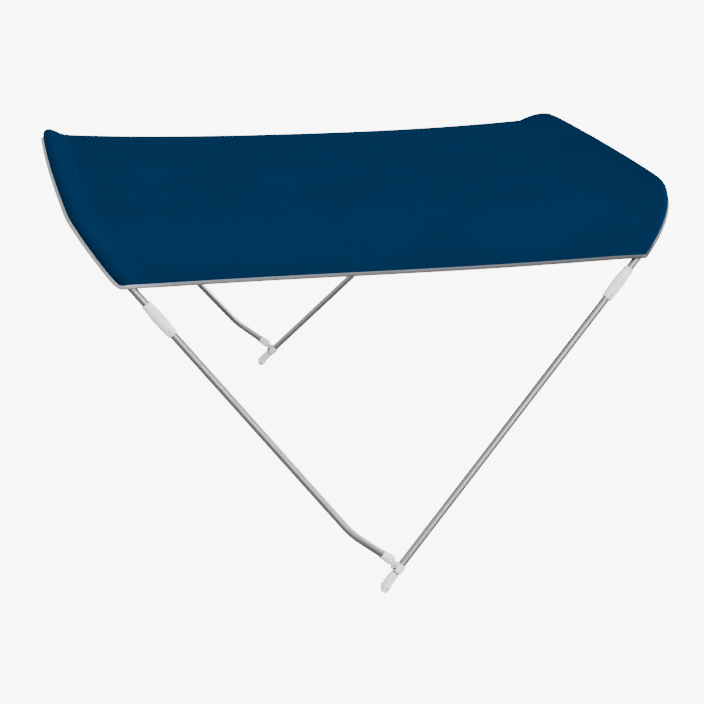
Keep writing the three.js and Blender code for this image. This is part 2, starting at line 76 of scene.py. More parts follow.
camera_data = adjust(bpy.data.cameras.new("camera"), lens=CAMERA_LENS, sensor_width=SENSOR_WIDTH,
                     shift_x=-0.0201, shift_y=-0.0180)
camera_data.dof.use_dof = False
camera = link(bpy.data.objects.new("camera", camera_data))
camera.location = CAMERA_PLACE
camera.rotation_euler = (CAMERA_PITCH, 0, CAMERA_YAW)
bpy.context.scene.camera = camera
print("camera at", CAMERA_PLACE)

# %% [markdown]
# A few helpers are shared by every piece. Blender's own cylinders and planes could be bent into
# shape, but here each piece is a skin over rings or rows of points, because a skin follows a
# drawn section exactly and closes without a gap. Smooth shading stops at the hard edges.

# %% Mesh helpers
def unit(v):
    """The same directions with a length of one."""
    v = np.asarray(v, float)
    return v / np.linalg.norm(v, axis=-1, keepdims=True)


def square_to(v, axis):
    """The direction nearest to v that is square to an axis."""
    return unit(v - axis * (v * axis).sum(-1, keepdims=True))


def travelled(points):
    """How far along a line of points each of them lies."""
    return np.concatenate([[0], np.cumsum(np.linalg.norm(np.diff(points, axis=0), axis=1))])


def bent(pulls, s):
    """The place at share s of a smooth bend, from its first point to its last one."""
    while len(pulls) > 1:
        pulls = [a * (1 - s) + b * s for a, b in zip(pulls, pulls[1:])]
    return pulls[0]


def raw_mesh(name, verts, edges=(), faces=()):
    mesh = bpy.data.meshes.new(name)
    faces = [tuple(map(int, face)) for face in faces]
    mesh.from_pydata([tuple(map(float, v)) for v in verts], edges, faces)
    mesh.update()
    return mesh


def add_object(name, mesh, hard_angle=40):
    mesh.polygons.foreach_set("use_smooth", [True] * len(mesh.polygons))
    mesh.set_sharp_from_angle(angle=math.radians(hard_angle))
    return link(bpy.data.objects.new(name, mesh))


def outward(piece, merge=True):
    """Turns the faces of a closed mesh outwards, after merging its doubles unless told not to."""
    bm = bmesh.new()
    bm.from_mesh(piece.data)
    if merge:
        bmesh.ops.remove_doubles(bm, verts=bm.verts, dist=1e-6)
        bmesh.ops.recalc_face_normals(bm, faces=bm.faces)
    if bm.calc_volume(signed=True) < 0:
        bmesh.ops.reverse_faces(bm, faces=bm.faces)
    bm.to_mesh(piece.data)
    bm.free()
    return piece


def full_turn(sides):
    """The angles of evenly spaced points round a circle."""
    return [2 * math.pi * j / sides for j in range(sides)]


def ring_faces(rings, sides, loop=False):
    """Quads between consecutive rings, and a cap on each end unless the rings make a loop."""
    faces = []
    for i in range(rings if loop else rings - 1):
        k = (i + 1) % rings
        for j in range(sides):
            n = (j + 1) % sides
            faces.append((i * sides + j, i * sides + n, k * sides + n, k * sides + j))
    if not loop:
        faces.append(tuple(range(sides)))
        faces.append(tuple((rings - 1) * sides + j for j in reversed(range(sides))))
    return faces


print("faces that close 3 rings of 8 points:", len(ring_faces(3, 8)))

# %% [markdown]
# Points can carry more than a place: a share, a direction, or where they lie on the cloth laid
# flat. A finish or a node tree reads these by name. Modifiers are applied at once, so that each
# piece ends as a plain mesh that anyone can export.


# %% What points carry, and plain meshes
def store(mesh, name, kind, values):
    """Keeps a value (FLOAT) or a direction (FLOAT_VECTOR) for each point of a mesh."""
    field = "value" if kind == "FLOAT" else "vector"
    mesh.attributes.new(name, kind, "POINT").data.foreach_set(field, np.asarray(values, float).ravel())


def lay_flat(piece, places):
    """Keeps each point's place on the cloth laid flat, as a UV map."""
    loops = np.zeros(len(piece.data.loops), int)
    piece.data.loops.foreach_get("vertex_index", loops)
    piece.data.uv_layers.new(name="flat").data.foreach_set("uv", np.asarray(places)[loops].ravel())


def plain_mesh(piece, name):
    """The piece's mesh with its modifiers applied; the piece itself is removed."""
    bpy.context.view_layer.update()
    evaluated = piece.evaluated_get(bpy.context.evaluated_depsgraph_get())
    mesh = bpy.data.meshes.new_from_object(evaluated)
    mesh.name = name
    bpy.data.objects.remove(piece)
    return mesh


def on_frame(piece, slot, *nodes):
    """Lets a piece ride on the frame's one body, and stand for the solids named."""
    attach(piece, "root")
    if nodes:
        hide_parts(*nodes)
    return piece


print("solids that pieces can stand for:", len(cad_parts))

# %% [markdown]
# ## Materials
# Each finish is a small tree of nodes. Pictures of cloth and metal could be wrapped round the
# pieces, but nodes have no pixels to run out of, and they read the piece's own coordinates, so
# the grain keeps its real size. This helper makes, sets and wires a node in one line.


# %% Node helpers
class Tree:
    """A node tree, for a material, the sky or Geometry Nodes."""

    def __init__(self, tree, prefix):
        self.tree = tree
        self.prefix = prefix

    def node(self, kind, wires=None, **settings):
        """Makes a node, and hands back its outputs."""
        node = adjust(self.tree.nodes.new(kind if "Node" in kind else self.prefix + kind), **settings)
        for socket, value in (wires or {}).items():
            if isinstance(value, bpy.types.NodeSocket):
                self.tree.links.new(value, node.inputs[socket])
            else:
                node.inputs[socket].default_value = value
        return node.outputs

    def math(self, operation, a, b=0.0, clamp=False):
        return self.node("ShaderNodeMath", {0: a, 1: b}, operation=operation, use_clamp=clamp)[0]

    def ramp(self, value, low, high, to_low=0.0, to_high=1.0):
        return self.node("ShaderNodeMapRange", {"Value": value, "From Min": low, "From Max": high,
                                                "To Min": to_low, "To Max": to_high})["Result"]


class Finish(Tree):
    """One material. What is the same all over sits on the shader's own sockets."""

    def __init__(self, name, color, roughness, **sockets):
        self.material = bpy.data.materials.new(name)
        self.material.use_nodes = True
        super().__init__(self.material.node_tree, "ShaderNode")
        self.shader = self.tree.nodes["Principled BSDF"]
        self.shader.inputs["Base Color"].default_value = (*color, 1)
        self.shader.inputs["Roughness"].default_value = roughness
        for socket, value in sockets.items():
            self.shader.inputs[socket.replace("_", " ")].default_value = value

    def feed(self, socket, value):
        self.tree.links.new(value, self.shader.inputs[socket])

    def noise(self, place, scale, detail=2.0):
        """Noise at one scale, or stretched by three scales."""
        if isinstance(scale, tuple):
            place = self.node("Mapping", {"Vector": place, "Scale": scale})[0]
            scale = 1.0
        return self.node("TexNoise", {"Vector": place, "Scale": scale, "Detail": detail})[0]

    def spread(self, noise, low=0.0, high=1.0):
        """Noise lies mostly between 0.3 and 0.7; this spreads that middle over a range."""
        return self.ramp(noise, 0.3, 0.7, low, high)

    def waves(self, value, pitch):
        return self.math("SINE", self.math("MULTIPLY", value, 2 * math.pi / pitch))

    def blend(self, share, low, high):
        """Mixes two colours by a share from 0 to 1."""
        low, high = [c if isinstance(c, bpy.types.NodeSocket) else (*c, 1) for c in (low, high)]
        return self.node("Mix", {0: share, 6: low, 7: high}, data_type="RGBA")[2]

    def bumped(self, height, depth, strength):
        bump = self.node("Bump", {"Height": height, "Distance": depth, "Strength": strength})
        self.feed("Normal", bump[0])

    def flat_place(self):
        """The place on the cloth laid flat, whole and as its x and y."""
        flat = self.node("UVMap", uv_map="flat")[0]
        x, y, _ = self.node("SeparateXYZ", {0: flat})
        return flat, x, y


print("a finish can:", [name for name in vars(Finish) if name[0] != "_"])

# %% [markdown]
# The canvas is acrylic yarn in a plain weave: warp and weft pass over and under each other, so
# each thread is a row of small humps. Modelled threads would be millions of faces, and two sine
# waves across the cloth's flat coordinates give the same humps as bump. Long thin noise gives
# the slubs, where a yarn is thicker or darker. Such cloth has no gloss, so specular is zero.

# %% Canvas
THREAD_PITCH = 0.9 * MM
NAVY_DARK = (0.0002, 0.0105, 0.0330)
NAVY_LIGHT = (0.0008, 0.0175, 0.0530)


def canvas_finish(name):
    finish = Finish(name, NAVY_DARK, 0.9, Specular_IOR_Level=0.0)
    flat, x, y = finish.flat_place()
    weave = finish.math("MULTIPLY", finish.waves(x, THREAD_PITCH), finish.waves(y, THREAD_PITCH))
    slubs = finish.math("ADD", finish.noise(flat, (14, 900, 1)), finish.noise(flat, (900, 14, 1)))
    cloudy = finish.noise(flat, (3.5, 3.5, 1), 4.0)
    tone = finish.math("ADD", finish.ramp(slubs, 0.7, 1.3, 0.0, 0.35), finish.spread(cloudy, 0.0, 0.2))
    tone = finish.math("ADD", tone, finish.ramp(weave, -1, 1, -0.25, 0.70), clamp=True)
    finish.feed("Base Color", finish.blend(tone, NAVY_DARK, NAVY_LIGHT))
    height = finish.math("ADD", weave, finish.math("MULTIPLY", slubs, 1.5))
    finish.bumped(height, 0.12 * MM, 0.9)
    return finish.material


canvas = canvas_finish("navy canvas")
print("canvas thread pitch", THREAD_PITCH)

# %% [markdown]
# The binding is a grey woven tape, folded over the raw edge and sewn down. Its fine ribs run
# across it, and its own grey is warm and brownish. A lighter, bluer grey on the side that faces
# in is a painted highlight on the rounded tape, and a near-black grey is painted shade. One flat
# grey would look like plastic, so the greys are mixed by shares that the tape's points carry: how
# far in a point lies, and how much painted shade falls at that place on its run.

# %% Tape
TAPE_RIB = 1.1 * MM
TAPE_PAINTED_HIGHLIGHT_GREY = (0.33, 0.375, 0.42)
TAPE_OUTER_GREY = (0.20, 0.172, 0.157)
TAPE_PAINTED_SHADE_GREY = (0.040, 0.037, 0.042)


def tape_finish(name):
    finish = Finish(name, TAPE_OUTER_GREY, 0.8, Specular_IOR_Level=0.1)
    flat, x, y = finish.flat_place()
    rib = finish.waves(finish.math("ADD", x, finish.math("MULTIPLY", y, 0.35)), TAPE_RIB)
    cloudy = finish.noise(flat, (60, 200, 1), 3.0)
    # painted highlight: points near the tape's inner side get the lighter, bluer grey, standing for
    # light on the rounded tape
    inner = finish.node("Attribute", attribute_name="painted_highlight_share")["Fac"]
    share = finish.math("ADD", inner, finish.spread(cloudy, -0.18, 0.18))
    share = finish.math("ADD", share, finish.ramp(rib, -1, 1, -0.06, 0.06), clamp=True)
    grey = finish.blend(share, TAPE_OUTER_GREY, TAPE_PAINTED_HIGHLIGHT_GREY)
    # painted shade: the depth share darkens the tape towards a near-black grey on its hems and along the
    # main bow
    depth = finish.node("Attribute", attribute_name="depth")["Fac"]
    finish.feed("Base Color", finish.blend(depth, grey, TAPE_PAINTED_SHADE_GREY))
    finish.bumped(rib, 0.12 * MM, 0.6)
    return finish.material


tape_grey = tape_finish("grey edge tape")
print("ribs in a metre of tape:", round(1 / TAPE_RIB))

# %% [markdown]
# The frame is anodised aluminium tube. Drawing it through a die leaves faint straight lines
# along it, and hands leave it duller in patches. Noise in plain coordinates would cross a bent
# tube at a slant, so this noise is stretched along the tube, in the tube's own coordinates.

# %% Anodised tube
TUBE_DARK = (0.19, 0.185, 0.18)
TUBE_LIGHT = (0.26, 0.255, 0.25)


def tube_finish(name):
    finish = Finish(name, TUBE_LIGHT, 0.36, Metallic=1.0)
    around = finish.node("Attribute", attribute_name="round_tube")["Vector"]
    around = finish.node("SeparateXYZ", {0: around})
    along = finish.node("Attribute", attribute_name="along_tube")["Fac"]
    place = finish.node("CombineXYZ", {0: around[0], 1: around[1], 2: along})[0]
    drawn = finish.noise(place, (1400, 1400, 5), 3.0)
    handled = finish.noise(place, (60, 60, 12), 4.0)
    finish.feed("Base Color", finish.blend(finish.spread(drawn), TUBE_DARK, TUBE_LIGHT))
    finish.feed("Roughness", finish.spread(handled, 0.36, 0.48))
    finish.bumped(drawn, 0.02 * MM, 0.25)
    return finish.material


anodised = tube_finish("anodised tube")
print("tube tint", TUBE_DARK, "to", TUBE_LIGHT)

# %% [markdown]
# The fittings are moulded white nylon, slightly glossy and a little clear at thin edges, which
# a touch of subsurface light shows. The screws are stainless steel, and the clamp's bolts are
# almost black. None of these has a run to follow, so their noise reads the object's plain
# coordinates.

# %% Nylon and steel
NYLON_DULL = (0.72, 0.72, 0.725)
NYLON_CLEAN = (0.82, 0.82, 0.83)


def nylon_finish(name):
    finish = Finish(name, NYLON_DULL, 0.38, Specular_IOR_Level=0.45,
                    Subsurface_Weight=0.15, Subsurface_Scale=1.5 * MM)
    place = finish.node("TexCoord")["Object"]
    worn = finish.noise(place, 70, 4.0)
    finish.feed("Base Color", finish.blend(finish.spread(worn), NYLON_DULL, NYLON_CLEAN))
    finish.feed("Roughness", finish.spread(worn, 0.34, 0.5))
    finish.bumped(finish.noise(place, 1800), 0.05 * MM, 0.25)
    return finish.material


def steel_finish(name, color, roughness):
    finish = Finish(name, color, roughness, Metallic=1.0)
    worn = finish.noise(finish.node("TexCoord")["Object"], 900, 3.0)
    finish.feed("Roughness", finish.spread(worn, roughness - 0.06, roughness + 0.1))
    finish.bumped(worn, 0.03 * MM, 0.3)
    return finish.material


nylon = nylon_finish("white nylon")
bright_steel = steel_finish("bright steel", (0.62, 0.62, 0.62), 0.3)
dark_steel = steel_finish("dark steel", (0.06, 0.06, 0.065), 0.45)
print("finishes:", [m.name for m in (canvas, tape_grey, anodised, nylon, bright_steel, dark_steel)])

# %% [markdown]
# ## The two bows
# Each bow is a flat U of tube that leans away from upright. It could be drawn by hand as a
# curve, but cloth, tape and tube must all follow it, so it is a formula: the height of its
# crossbar above its foot, the half width at the shoulders, the corner radius and a small crown.
# A place on it is given by t: 0 at the crown, 1 where the corner starts, 2 at the hem.

# %% Bow shapes
CLAMP_HALF_SPAN = 960.5 * MM
CLAMP_X, CLAMP_Z = 44.81 * MM, 53.42 * MM
SECOND_FOOT = (CLAMP_X - 139 * MM, CLAMP_Z + 123 * MM)
TUBE_RADIUS = 11 * MM
POCKET_CLEARANCE = 1.2 * MM
POCKET_WALL = 1 * MM


class Bow:
    """One bent tube, from its lean in degrees, its foot in metres and its sizes in millimetres.

    The side is 1 where the bow leans to +X and -1 where it leans to -X.
    """

    def __init__(self, lean, foot, height, shoulder, corner, crown, hem, pocket, flare, side):
        self.lean = math.radians(lean)
        self.foot_x, self.foot_z = foot
        self.height, self.corner, self.crown = height * MM, corner * MM, crown * MM
        self.pocket, self.flare, self.side = pocket * MM, flare * MM, side
        self.drift = CLAMP_HALF_SPAN - shoulder * MM
        self.splay = math.atan2(self.drift, self.height)
        self.turn = math.pi / 2 - self.splay
        self.half_bar = shoulder * MM - self.corner * math.tan(self.turn / 2)
        self.arc = self.corner * self.turn
        self.leg_top = self.height - self.corner * (1 - math.cos(self.turn))
        self.seat = (self.pocket - POCKET_WALL - TUBE_RADIUS - POCKET_CLEARANCE) * math.sqrt(0.5)
        if hem * MM > self.leg_top:
            cosine = (hem * MM - self.height + self.corner) / self.corner
            self.hem = self.half_bar + self.corner * math.acos(cosine)
        else:
            self.hem = self.half_bar + self.arc + (self.leg_top - hem * MM) / math.cos(self.splay)

    def distance(self, t):
        """The signed distance from the crown along the tube at places t."""
        bar = self.half_bar * np.abs(t)
        flap = self.half_bar + (self.hem - self.half_bar) * (np.abs(t) - 1)
        return np.sign(t) * np.where(np.abs(t) <= 1, bar, flap)

    def at(self, distance):
        """The tube's centre at signed distances from the crown, as an array of points."""
        d = np.abs(np.asarray(distance, float))
        angle = np.clip((d - self.half_bar) / self.corner, 0, self.turn)
        down = np.maximum(0, d - self.half_bar - self.arc)
        bar = np.minimum(d, self.half_bar)
        crown = self.crown * (1 - (bar / self.half_bar) ** 2)
        y = bar + self.corner * np.sin(angle) + down * math.sin(self.splay)
        s = self.height - self.corner * (1 - np.cos(angle)) - down * math.cos(self.splay) + crown
        y = np.where(np.asarray(distance) < 0, -y, y)
        x, z = self.foot_x + s * math.sin(self.lean), self.foot_z + s * math.cos(self.lean)
        return np.stack([x, y, z], -1)

    def leg_distance(self, up_leg):
        """The distance from the crown of a place that is a given way up the leg."""
        return self.half_bar + self.arc + self.leg_top / math.cos(self.splay) - up_leg

    def leg_up(self, side):
        """The direction up the leg on one side of the frame."""
        x, z = self.height * math.sin(self.lean), self.height * math.cos(self.lean)
        return unit([x, -side * self.drift, z])

    def out(self):
        """The direction square to the bow's plane, away from the other bow."""
        return self.side * np.array([math.cos(self.lean), 0, -math.sin(self.lean)])


main_bow = Bow(lean=44.1, foot=(CLAMP_X, CLAMP_Z), height=1350, shoulder=683, corner=280, crown=5,
               hem=1132, pocket=15, flare=0, side=1)
second_bow = Bow(lean=-38.7, foot=SECOND_FOOT, height=1119, shoulder=686.5, corner=250, crown=14,
                 hem=911, pocket=16.5, flare=6, side=-1)
print("crossbar heights", main_bow.at(0)[2], second_bow.at(0)[2])

# %% [markdown]
# ## The canopy
# The real canopy is one panel of canvas with a pocket turned round each bow, pulled tight by
# the bows. Between them it hangs in a shallow saddle, and at the sides it bends down into
# flaps. It is built here as one continuous sheet: each row of points crosses from pocket to
# pocket, and the rows step from hem to hem. Direct rows were chosen over a cloth simulation
# because a sheet stretched tight takes its shape from its edges, not from its weight.

# %% Rows of the cloth
BAR_ROWS, FLAP_ROWS = 26, 64
TANGENT_STEP = 2 * MM

bar_t = np.linspace(0, 1, BAR_ROWS + 1)[:-1]
half_t = np.concatenate([bar_t, np.linspace(1, 2, FLAP_ROWS + 1)])
row_t = np.concatenate([-half_t[:0:-1], half_t])
last_row = len(row_t) - 1
flap_share = np.clip(np.abs(row_t) - 1, 0, 1)


class Edge:
    """One bow's edge of the cloth: the directions that a pocket section is drawn in."""

    def __init__(self, bow):
        self.bow = bow
        place = bow.distance(row_t)
        self.tube = bow.at(place)
        self.tangent = unit(bow.at(place + TANGENT_STEP) - bow.at(place - TANGENT_STEP))

    def face(self, across):
        self.normal = unit(np.cross(across, self.tangent))
        self.square = square_to(across, self.tangent) * self.bow.side
        self.outboard = across / (across * self.square).sum(-1, keepdims=True)


main_edge, second_edge = Edge(main_bow), Edge(second_bow)
for edge in (main_edge, second_edge):
    edge.face(unit(main_edge.tube - second_edge.tube))
print("rows of cloth:", len(row_t))

# %% [markdown]
# A pocket is the cloth turned back round the tube and sewn to itself. Rather than wrap a mesh
# round the tube, it is drawn as a flat section that every row repeats: from the seam on top,
# down a short slope, round the tube, and back to the seam underneath, where the turned
# allowance lies flat against the panel.

# %% The pocket's section
SEAM_FROM_TUBE = 50 * MM
SEAM_DROP = 7 * MM
SEAM_ALLOWANCE = 14 * MM
ALLOWANCE_ENDS = ((0, 0), (-0.5, -0.04), (-1, -0.085))
LAYER_GAP = 1.7 * MM
POCKET_STEPS, SLOPE_STEPS = 26, 8


def pocket_section(bow, share):
    """The section at one row, as (out from the tube, up) pairs; share is 0 at the top, 1 at the hem."""
    centre = np.array([-bow.seat, -bow.seat])
    top = np.array([-SEAM_FROM_TUBE, -SEAM_DROP])
    under = top - [0, LAYER_GAP]
    flare = bow.flare * np.clip((share - 0.35) / 0.5, 0, 1)

    def touch(seam, way):
        """The angle at which a straight line from the seam touches the fold."""
        to_seam = seam - centre
        angle = math.atan2(to_seam[1], to_seam[0])
        angle += 2 * math.pi if to_seam[1] < 0 else 0
        return angle + way * math.acos(bow.pocket / np.linalg.norm(to_seam))

    angles = np.linspace(touch(top, -1), touch(under, 1) - 2 * math.pi, POCKET_STEPS + 1)
    circle = np.stack([np.cos(angles), np.sin(angles)], -1)
    fold = centre + circle * bow.pocket
    fold[:, 0] += np.maximum(circle[:, 0], 0) * flare
    slope = np.linspace(0, 1, SLOPE_STEPS, endpoint=False)[:, None]
    down = top * (1 - slope) + fold[0] * slope
    back = (fold[-1] * (1 - slope) + under * slope)[1:]
    return np.concatenate([down, fold, back, under + np.array(ALLOWANCE_ENDS) * SEAM_ALLOWANCE])


def pocket_points(edge, k):
    section = pocket_section(edge.bow, flap_share[k])
    return edge.tube[k] + section[:, :1] * edge.outboard[k] + section[:, 1:] * edge.normal[k]


LEFT_SEAM = len(pocket_section(second_bow, 0)) - 1
print("points in a pocket's section:", LEFT_SEAM + 1)

# %% [markdown]
# Between the two seams the panel sags by about 3 cm. The sag is strongest at the shoulders and
# fades to nothing at the hem. The hem is drawn in by a few millimetres near the second bow and
# droops by about as much near the main bow, where less of the pull reaches it. A power of the
# distance from the middle gives the sag a flat bottom, which a plain arc would not have.

# %% The whole grid of points
SHOULDER_SAG = 31 * MM
CROWN_SAG = 27 * MM
SAG_POWER = 2.4
HEM_HOLLOW = 4 * MM
HEM_DROOP = 7 * MM
SPAN_STEPS = 110
SPAN_EASE = 0.066

span_u = np.linspace(0, 1, SPAN_STEPS + 1)[1:-1, None]
span_u = span_u - SPAN_EASE * np.sin(2 * np.pi * span_u)
arch = 4 * span_u * (1 - span_u)
late_arch = 6.75 * span_u**2 * (1 - span_u)


def sag_at(k):
    t = abs(row_t[k])
    if t <= 1:
        return CROWN_SAG + (SHOULDER_SAG - CROWN_SAG) * t**2
    return SHOULDER_SAG * (1 - flap_share[k])


def cloth_row(k):
    left = pocket_points(second_edge, k)[::-1]
    right = pocket_points(main_edge, k)
    normal = unit(second_edge.normal[k] * (1 - span_u) + main_edge.normal[k] * span_u)
    tangent = unit(second_edge.tangent[k] * (1 - span_u) + main_edge.tangent[k] * span_u)
    sag = sag_at(k) * (1 - np.abs(2 * span_u - 1) ** SAG_POWER)
    drawn_in = (HEM_HOLLOW * arch - HEM_DROOP * late_arch) * flap_share[k] ** 4 * -np.sign(row_t[k])
    span = left[-1] * (1 - span_u) + right[0] * span_u - normal * sag + tangent * drawn_in
    return np.concatenate([left, span, right])


grid = np.stack([cloth_row(k) for k in range(len(row_t))])
rows, columns = grid.shape[:2]
column = np.arange(columns)
RIGHT_SEAM = columns - 1 - LEFT_SEAM
LEFT_FOLD = LEFT_SEAM - SLOPE_STEPS - POCKET_STEPS // 2
RIGHT_FOLD = RIGHT_SEAM + SLOPE_STEPS + POCKET_STEPS // 2
print("cloth grid:", grid.shape[:2], "seams at columns", LEFT_SEAM, RIGHT_SEAM)

# %% [markdown]
# The plain rows leave two hard lines that real cloth would not have: one where each corner
# starts and one at each seam. A smooth modifier would shrink the hems too, so neighbouring
# points are averaged only there, with a weight that fades away from the line.

# %% Soften the creases
CORNER_BAND, CORNER_TIMES = 0.12, 40
SEAM_BAND, SEAM_TIMES = 3.0, 6


def averaged(points, times, weight):
    """Draws each line of points towards the mean of its neighbours on both sides."""
    for _ in range(times):
        mean = (points[:-2] + points[2:]) / 2
        points[1:-1] += weight[1:-1] * 0.5 * (mean - points[1:-1])
    return points


def near(distance, band):
    return np.exp(-((distance / band) ** 2))


grid = averaged(grid, CORNER_TIMES, near(np.abs(row_t) - 1, CORNER_BAND)[:, None, None])
near_seam = near(column - LEFT_SEAM, SEAM_BAND) + near(column - RIGHT_SEAM, SEAM_BAND)
by_column = np.swapaxes(grid, 0, 1).copy()
grid = np.swapaxes(averaged(by_column, SEAM_TIMES, near_seam[:, None, None]), 0, 1)
print("weight on the seams' own columns:", near_seam[LEFT_SEAM])

# %% [markdown]
# The tape turns the free corner beside the second bow in one sweep. Its turn is planned before
# the cloth's edge is cut, because the cloth has to end inside it all the way. The turn is drawn
# round the pocket: an angle round the fold, a radius that tightens, and a height that falls to
# the hem. Cutting the cloth with a boolean would leave slivers, so the rows are drawn up.

# %% Plan the tape's turn
CLOTH_THICKNESS = 1.2 * MM
TAPE_WIDTH = 11.5 * MM
TAPE_BITE = 0.8 * MM
TAPE_COVER = 3.0 * MM
HEM_DROP = 5.0 * MM
FOLD_REACH = 10
TURN_PLACES = 15
TURN_RISE = 30 * MM
TURN_TOP_ANGLE = math.radians(95)


def tape_reach(edge, fold_column, k):
    """How far the middle of the tape stands out from the tube, square to the bow's plane."""
    beside = slice(max(0, fold_column - FOLD_REACH), fold_column + FOLD_REACH)
    fold = ((grid[k, beside] - edge.tube[k]) @ edge.bow.out()).max()
    return fold + CLOTH_THICKNESS / 2 + TAPE_WIDTH / 2 - TAPE_BITE


class Turn:
    """The tape's turn round the second bow's pocket: angle, radius and height above the hem."""

    pocket, seat = second_bow.pocket, second_bow.seat
    flared = pocket + second_bow.flare

    def __init__(self, end):
        out = second_bow.out() * tape_reach(second_edge, LEFT_FOLD, end)
        first, start_radius = self.polar(out @ second_edge.square[end], out @ second_edge.normal[end])
        self.s = np.linspace(0, 1, TURN_PLACES)
        self.angle = first + (TURN_TOP_ANGLE - first) * self.s**2
        self.radius = self.pocket + (start_radius - self.pocket) * (1 - self.s) ** 2
        self.above = (TURN_RISE + HEM_DROP) * (1 - self.s) ** 2 - HEM_DROP

    def polar(self, out, high):
        """The angle and radius in the pocket's section of a place beside the tube."""
        x, y = out + self.seat, high + self.seat
        x = np.where(x > 0, x * self.pocket / self.flared, x)
        return np.arctan2(y, x), np.hypot(x, y)

    def section(self):
        """The turn's places beside the tube: how far out and how high."""
        x, y = self.radius * np.cos(self.angle), self.radius * np.sin(self.angle)
        x = np.where(x > 0, x * self.flared / self.pocket, x)
        return x - self.seat, y - self.seat

    def cut(self, out, high):
        """How far the cloth's edge is cut back at a place, so that the tape covers it."""
        angle = self.angle[0] + np.abs(self.polar(out, high)[0] - self.angle[0])
        return np.maximum(np.interp(angle, self.angle, self.above) + TAPE_COVER, 0)


turns = {end: Turn(end) for end in (0, last_row)}
print("the turn starts at an angle of", math.degrees(turns[0].angle[0]))

# %% [markdown]
# Now the outer part of the pocket is drawn up near the hem, most at the hem itself and less
# row by row above it, so that the corner of the cloth is round and its threads stay even.

# %% Round the free corners
CORNER_FADE = 80 * MM


def round_corner(k):
    """Draws up the second bow's pocket in one row, and tells by how much."""
    turn = turns[0 if row_t[k] < 0 else last_row]
    to_hem = (2 - abs(row_t[k])) * (second_bow.hem - second_bow.half_bar)
    fade = max(0.0, 1 - to_hem / CORNER_FADE) ** 2
    pocket = grid[k, :LEFT_SEAM + 1]
    from_tube = pocket - second_edge.tube[k]
    rise = turn.cut(from_tube @ second_edge.square[k], from_tube @ second_edge.normal[k]) * fade
    pocket -= np.sign(row_t[k]) * rise[:, None] * second_edge.tangent[k]
    return rise.max()


print("the corners are drawn up by", max([round_corner(k) for k in range(rows)]))

# %% [markdown]
# Sewing pulls the cloth in at each stitch, so small puckers stand beside the seams, and a few
# long shallow ripples run in from the flap's corners. Bump would do for a still picture, but
# moved points also change the outline. They are under a millimetre high: the canopy is tight,
# and from a few steps away it looks smooth.

# %% Puckers and ripples
PUCKER_HEIGHT = 0.35 * MM
PUCKER_PITCH = 21 * MM
PUCKER_BAND = 3.2
RIPPLE_HEIGHT = 0.5 * MM


def grid_normals(points):
    return unit(np.cross(np.gradient(points, axis=1), np.gradient(points, axis=0)))


row_length = (main_bow.distance(row_t) + second_bow.distance(row_t)) / 2
normals = grid_normals(grid)
normals = normals * np.sign(normals[rows // 2, columns // 2, 2])
v_place = row_length[:, None]
u_place = np.clip((column - LEFT_SEAM) / (RIGHT_SEAM - LEFT_SEAM), 0, 1)[None, :]
from_seam = np.minimum(np.abs(column - LEFT_SEAM), np.abs(column - RIGHT_SEAM))[None, :]
inside = (column > LEFT_SEAM - 4) & (column < RIGHT_SEAM + 4)
uneven = 0.6 + 0.4 * np.sin(v_place * 61)
wobble = np.sin(2 * np.pi * v_place / PUCKER_PITCH + 1.7 * np.sin(v_place * 23)) * uneven
pucker = PUCKER_HEIGHT * wobble * near(from_seam, PUCKER_BAND) * inside[None, :]
ripple = np.sin(9 * u_place + 14 * v_place) * np.sin(5 * v_place + 3 * u_place + 0.7)
ripple = RIPPLE_HEIGHT * ripple * 4 * u_place * (1 - u_place)
grid = grid + normals * (pucker + ripple)[..., None]
turned_normals = grid_normals(grid)
normals = turned_normals * np.sign((turned_normals * normals).sum(-1, keepdims=True))
print("puckers and ripples reach", np.abs(pucker + ripple).max())

# %% [markdown]
# The sheet needs a thickness. A Solidify modifier would give one, but here the top skin, the
# under skin and the rim come straight from the grid, so that each point keeps its place on the
# cloth laid flat: the length across the middle row, and the length along the bows.

# %% The closed sheet
column_length = travelled(grid[rows // 2])
half_sheet = normals * CLOTH_THICKNESS / 2
verts = np.concatenate([(grid + half_sheet).reshape(-1, 3), (grid - half_sheet).reshape(-1, 3)])
index = np.arange(rows * columns).reshape(rows, columns)
a, b, c, d = index[:-1, :-1], index[:-1, 1:], index[1:, 1:], index[1:, :-1]
top_faces = np.stack([a, b, c, d], -1).reshape(-1, 4)
under_faces = top_faces[:, ::-1] + rows * columns
rim = np.concatenate([index[0, :], index[1:, -1], index[-1, -2::-1], index[-2:0:-1, 0]])
rim_next = np.roll(rim, -1)
rim_faces = np.stack([rim_next, rim, rim + rows * columns, rim_next + rows * columns], -1)
faces = np.concatenate([top_faces, under_faces, rim_faces])
canopy = add_object("canopy", raw_mesh("canopy", verts, faces=faces), 50)
flat_places = np.stack([np.tile(column_length, rows), np.repeat(row_length, columns)], -1)
lay_flat(canopy, np.tile(flat_places, (2, 1)))
outward(canopy, merge=False)
canopy.data.materials.append(canvas)
print("canopy faces:", len(canopy.data.polygons))

# %% [markdown]
# ## The edge tape
# One length of tape goes right round the canopy: along the fold of each pocket and along each
# hem, in a wide turn at the second bow and a tight one at the main bow. A curve with a bevel
# would twist at the corners, so the tape is swept as a ring of small sections. Each place on
# its path has a centre and an outward direction across the tape.


# %% Runs along the bows and the hems
def side_path(edge, fold_column, k_range):
    """Tape along a bow: it stands out from the pocket's fold, square to the bow's plane."""
    out = edge.bow.out()
    return [(edge.tube[k] + out * tape_reach(edge, fold_column, k), out) for k in k_range]


def hem_path(end, inner, column_range):
    """Tape along a hem: it closes over the cloth's cut edge."""
    path = []
    for j in column_range:
        down = unit(grid[end, j] - grid[inner, j])
        path.append((grid[end, j] + down * HEM_DROP + normals[end, j] * CLOTH_THICKNESS / 2, down))
    return path


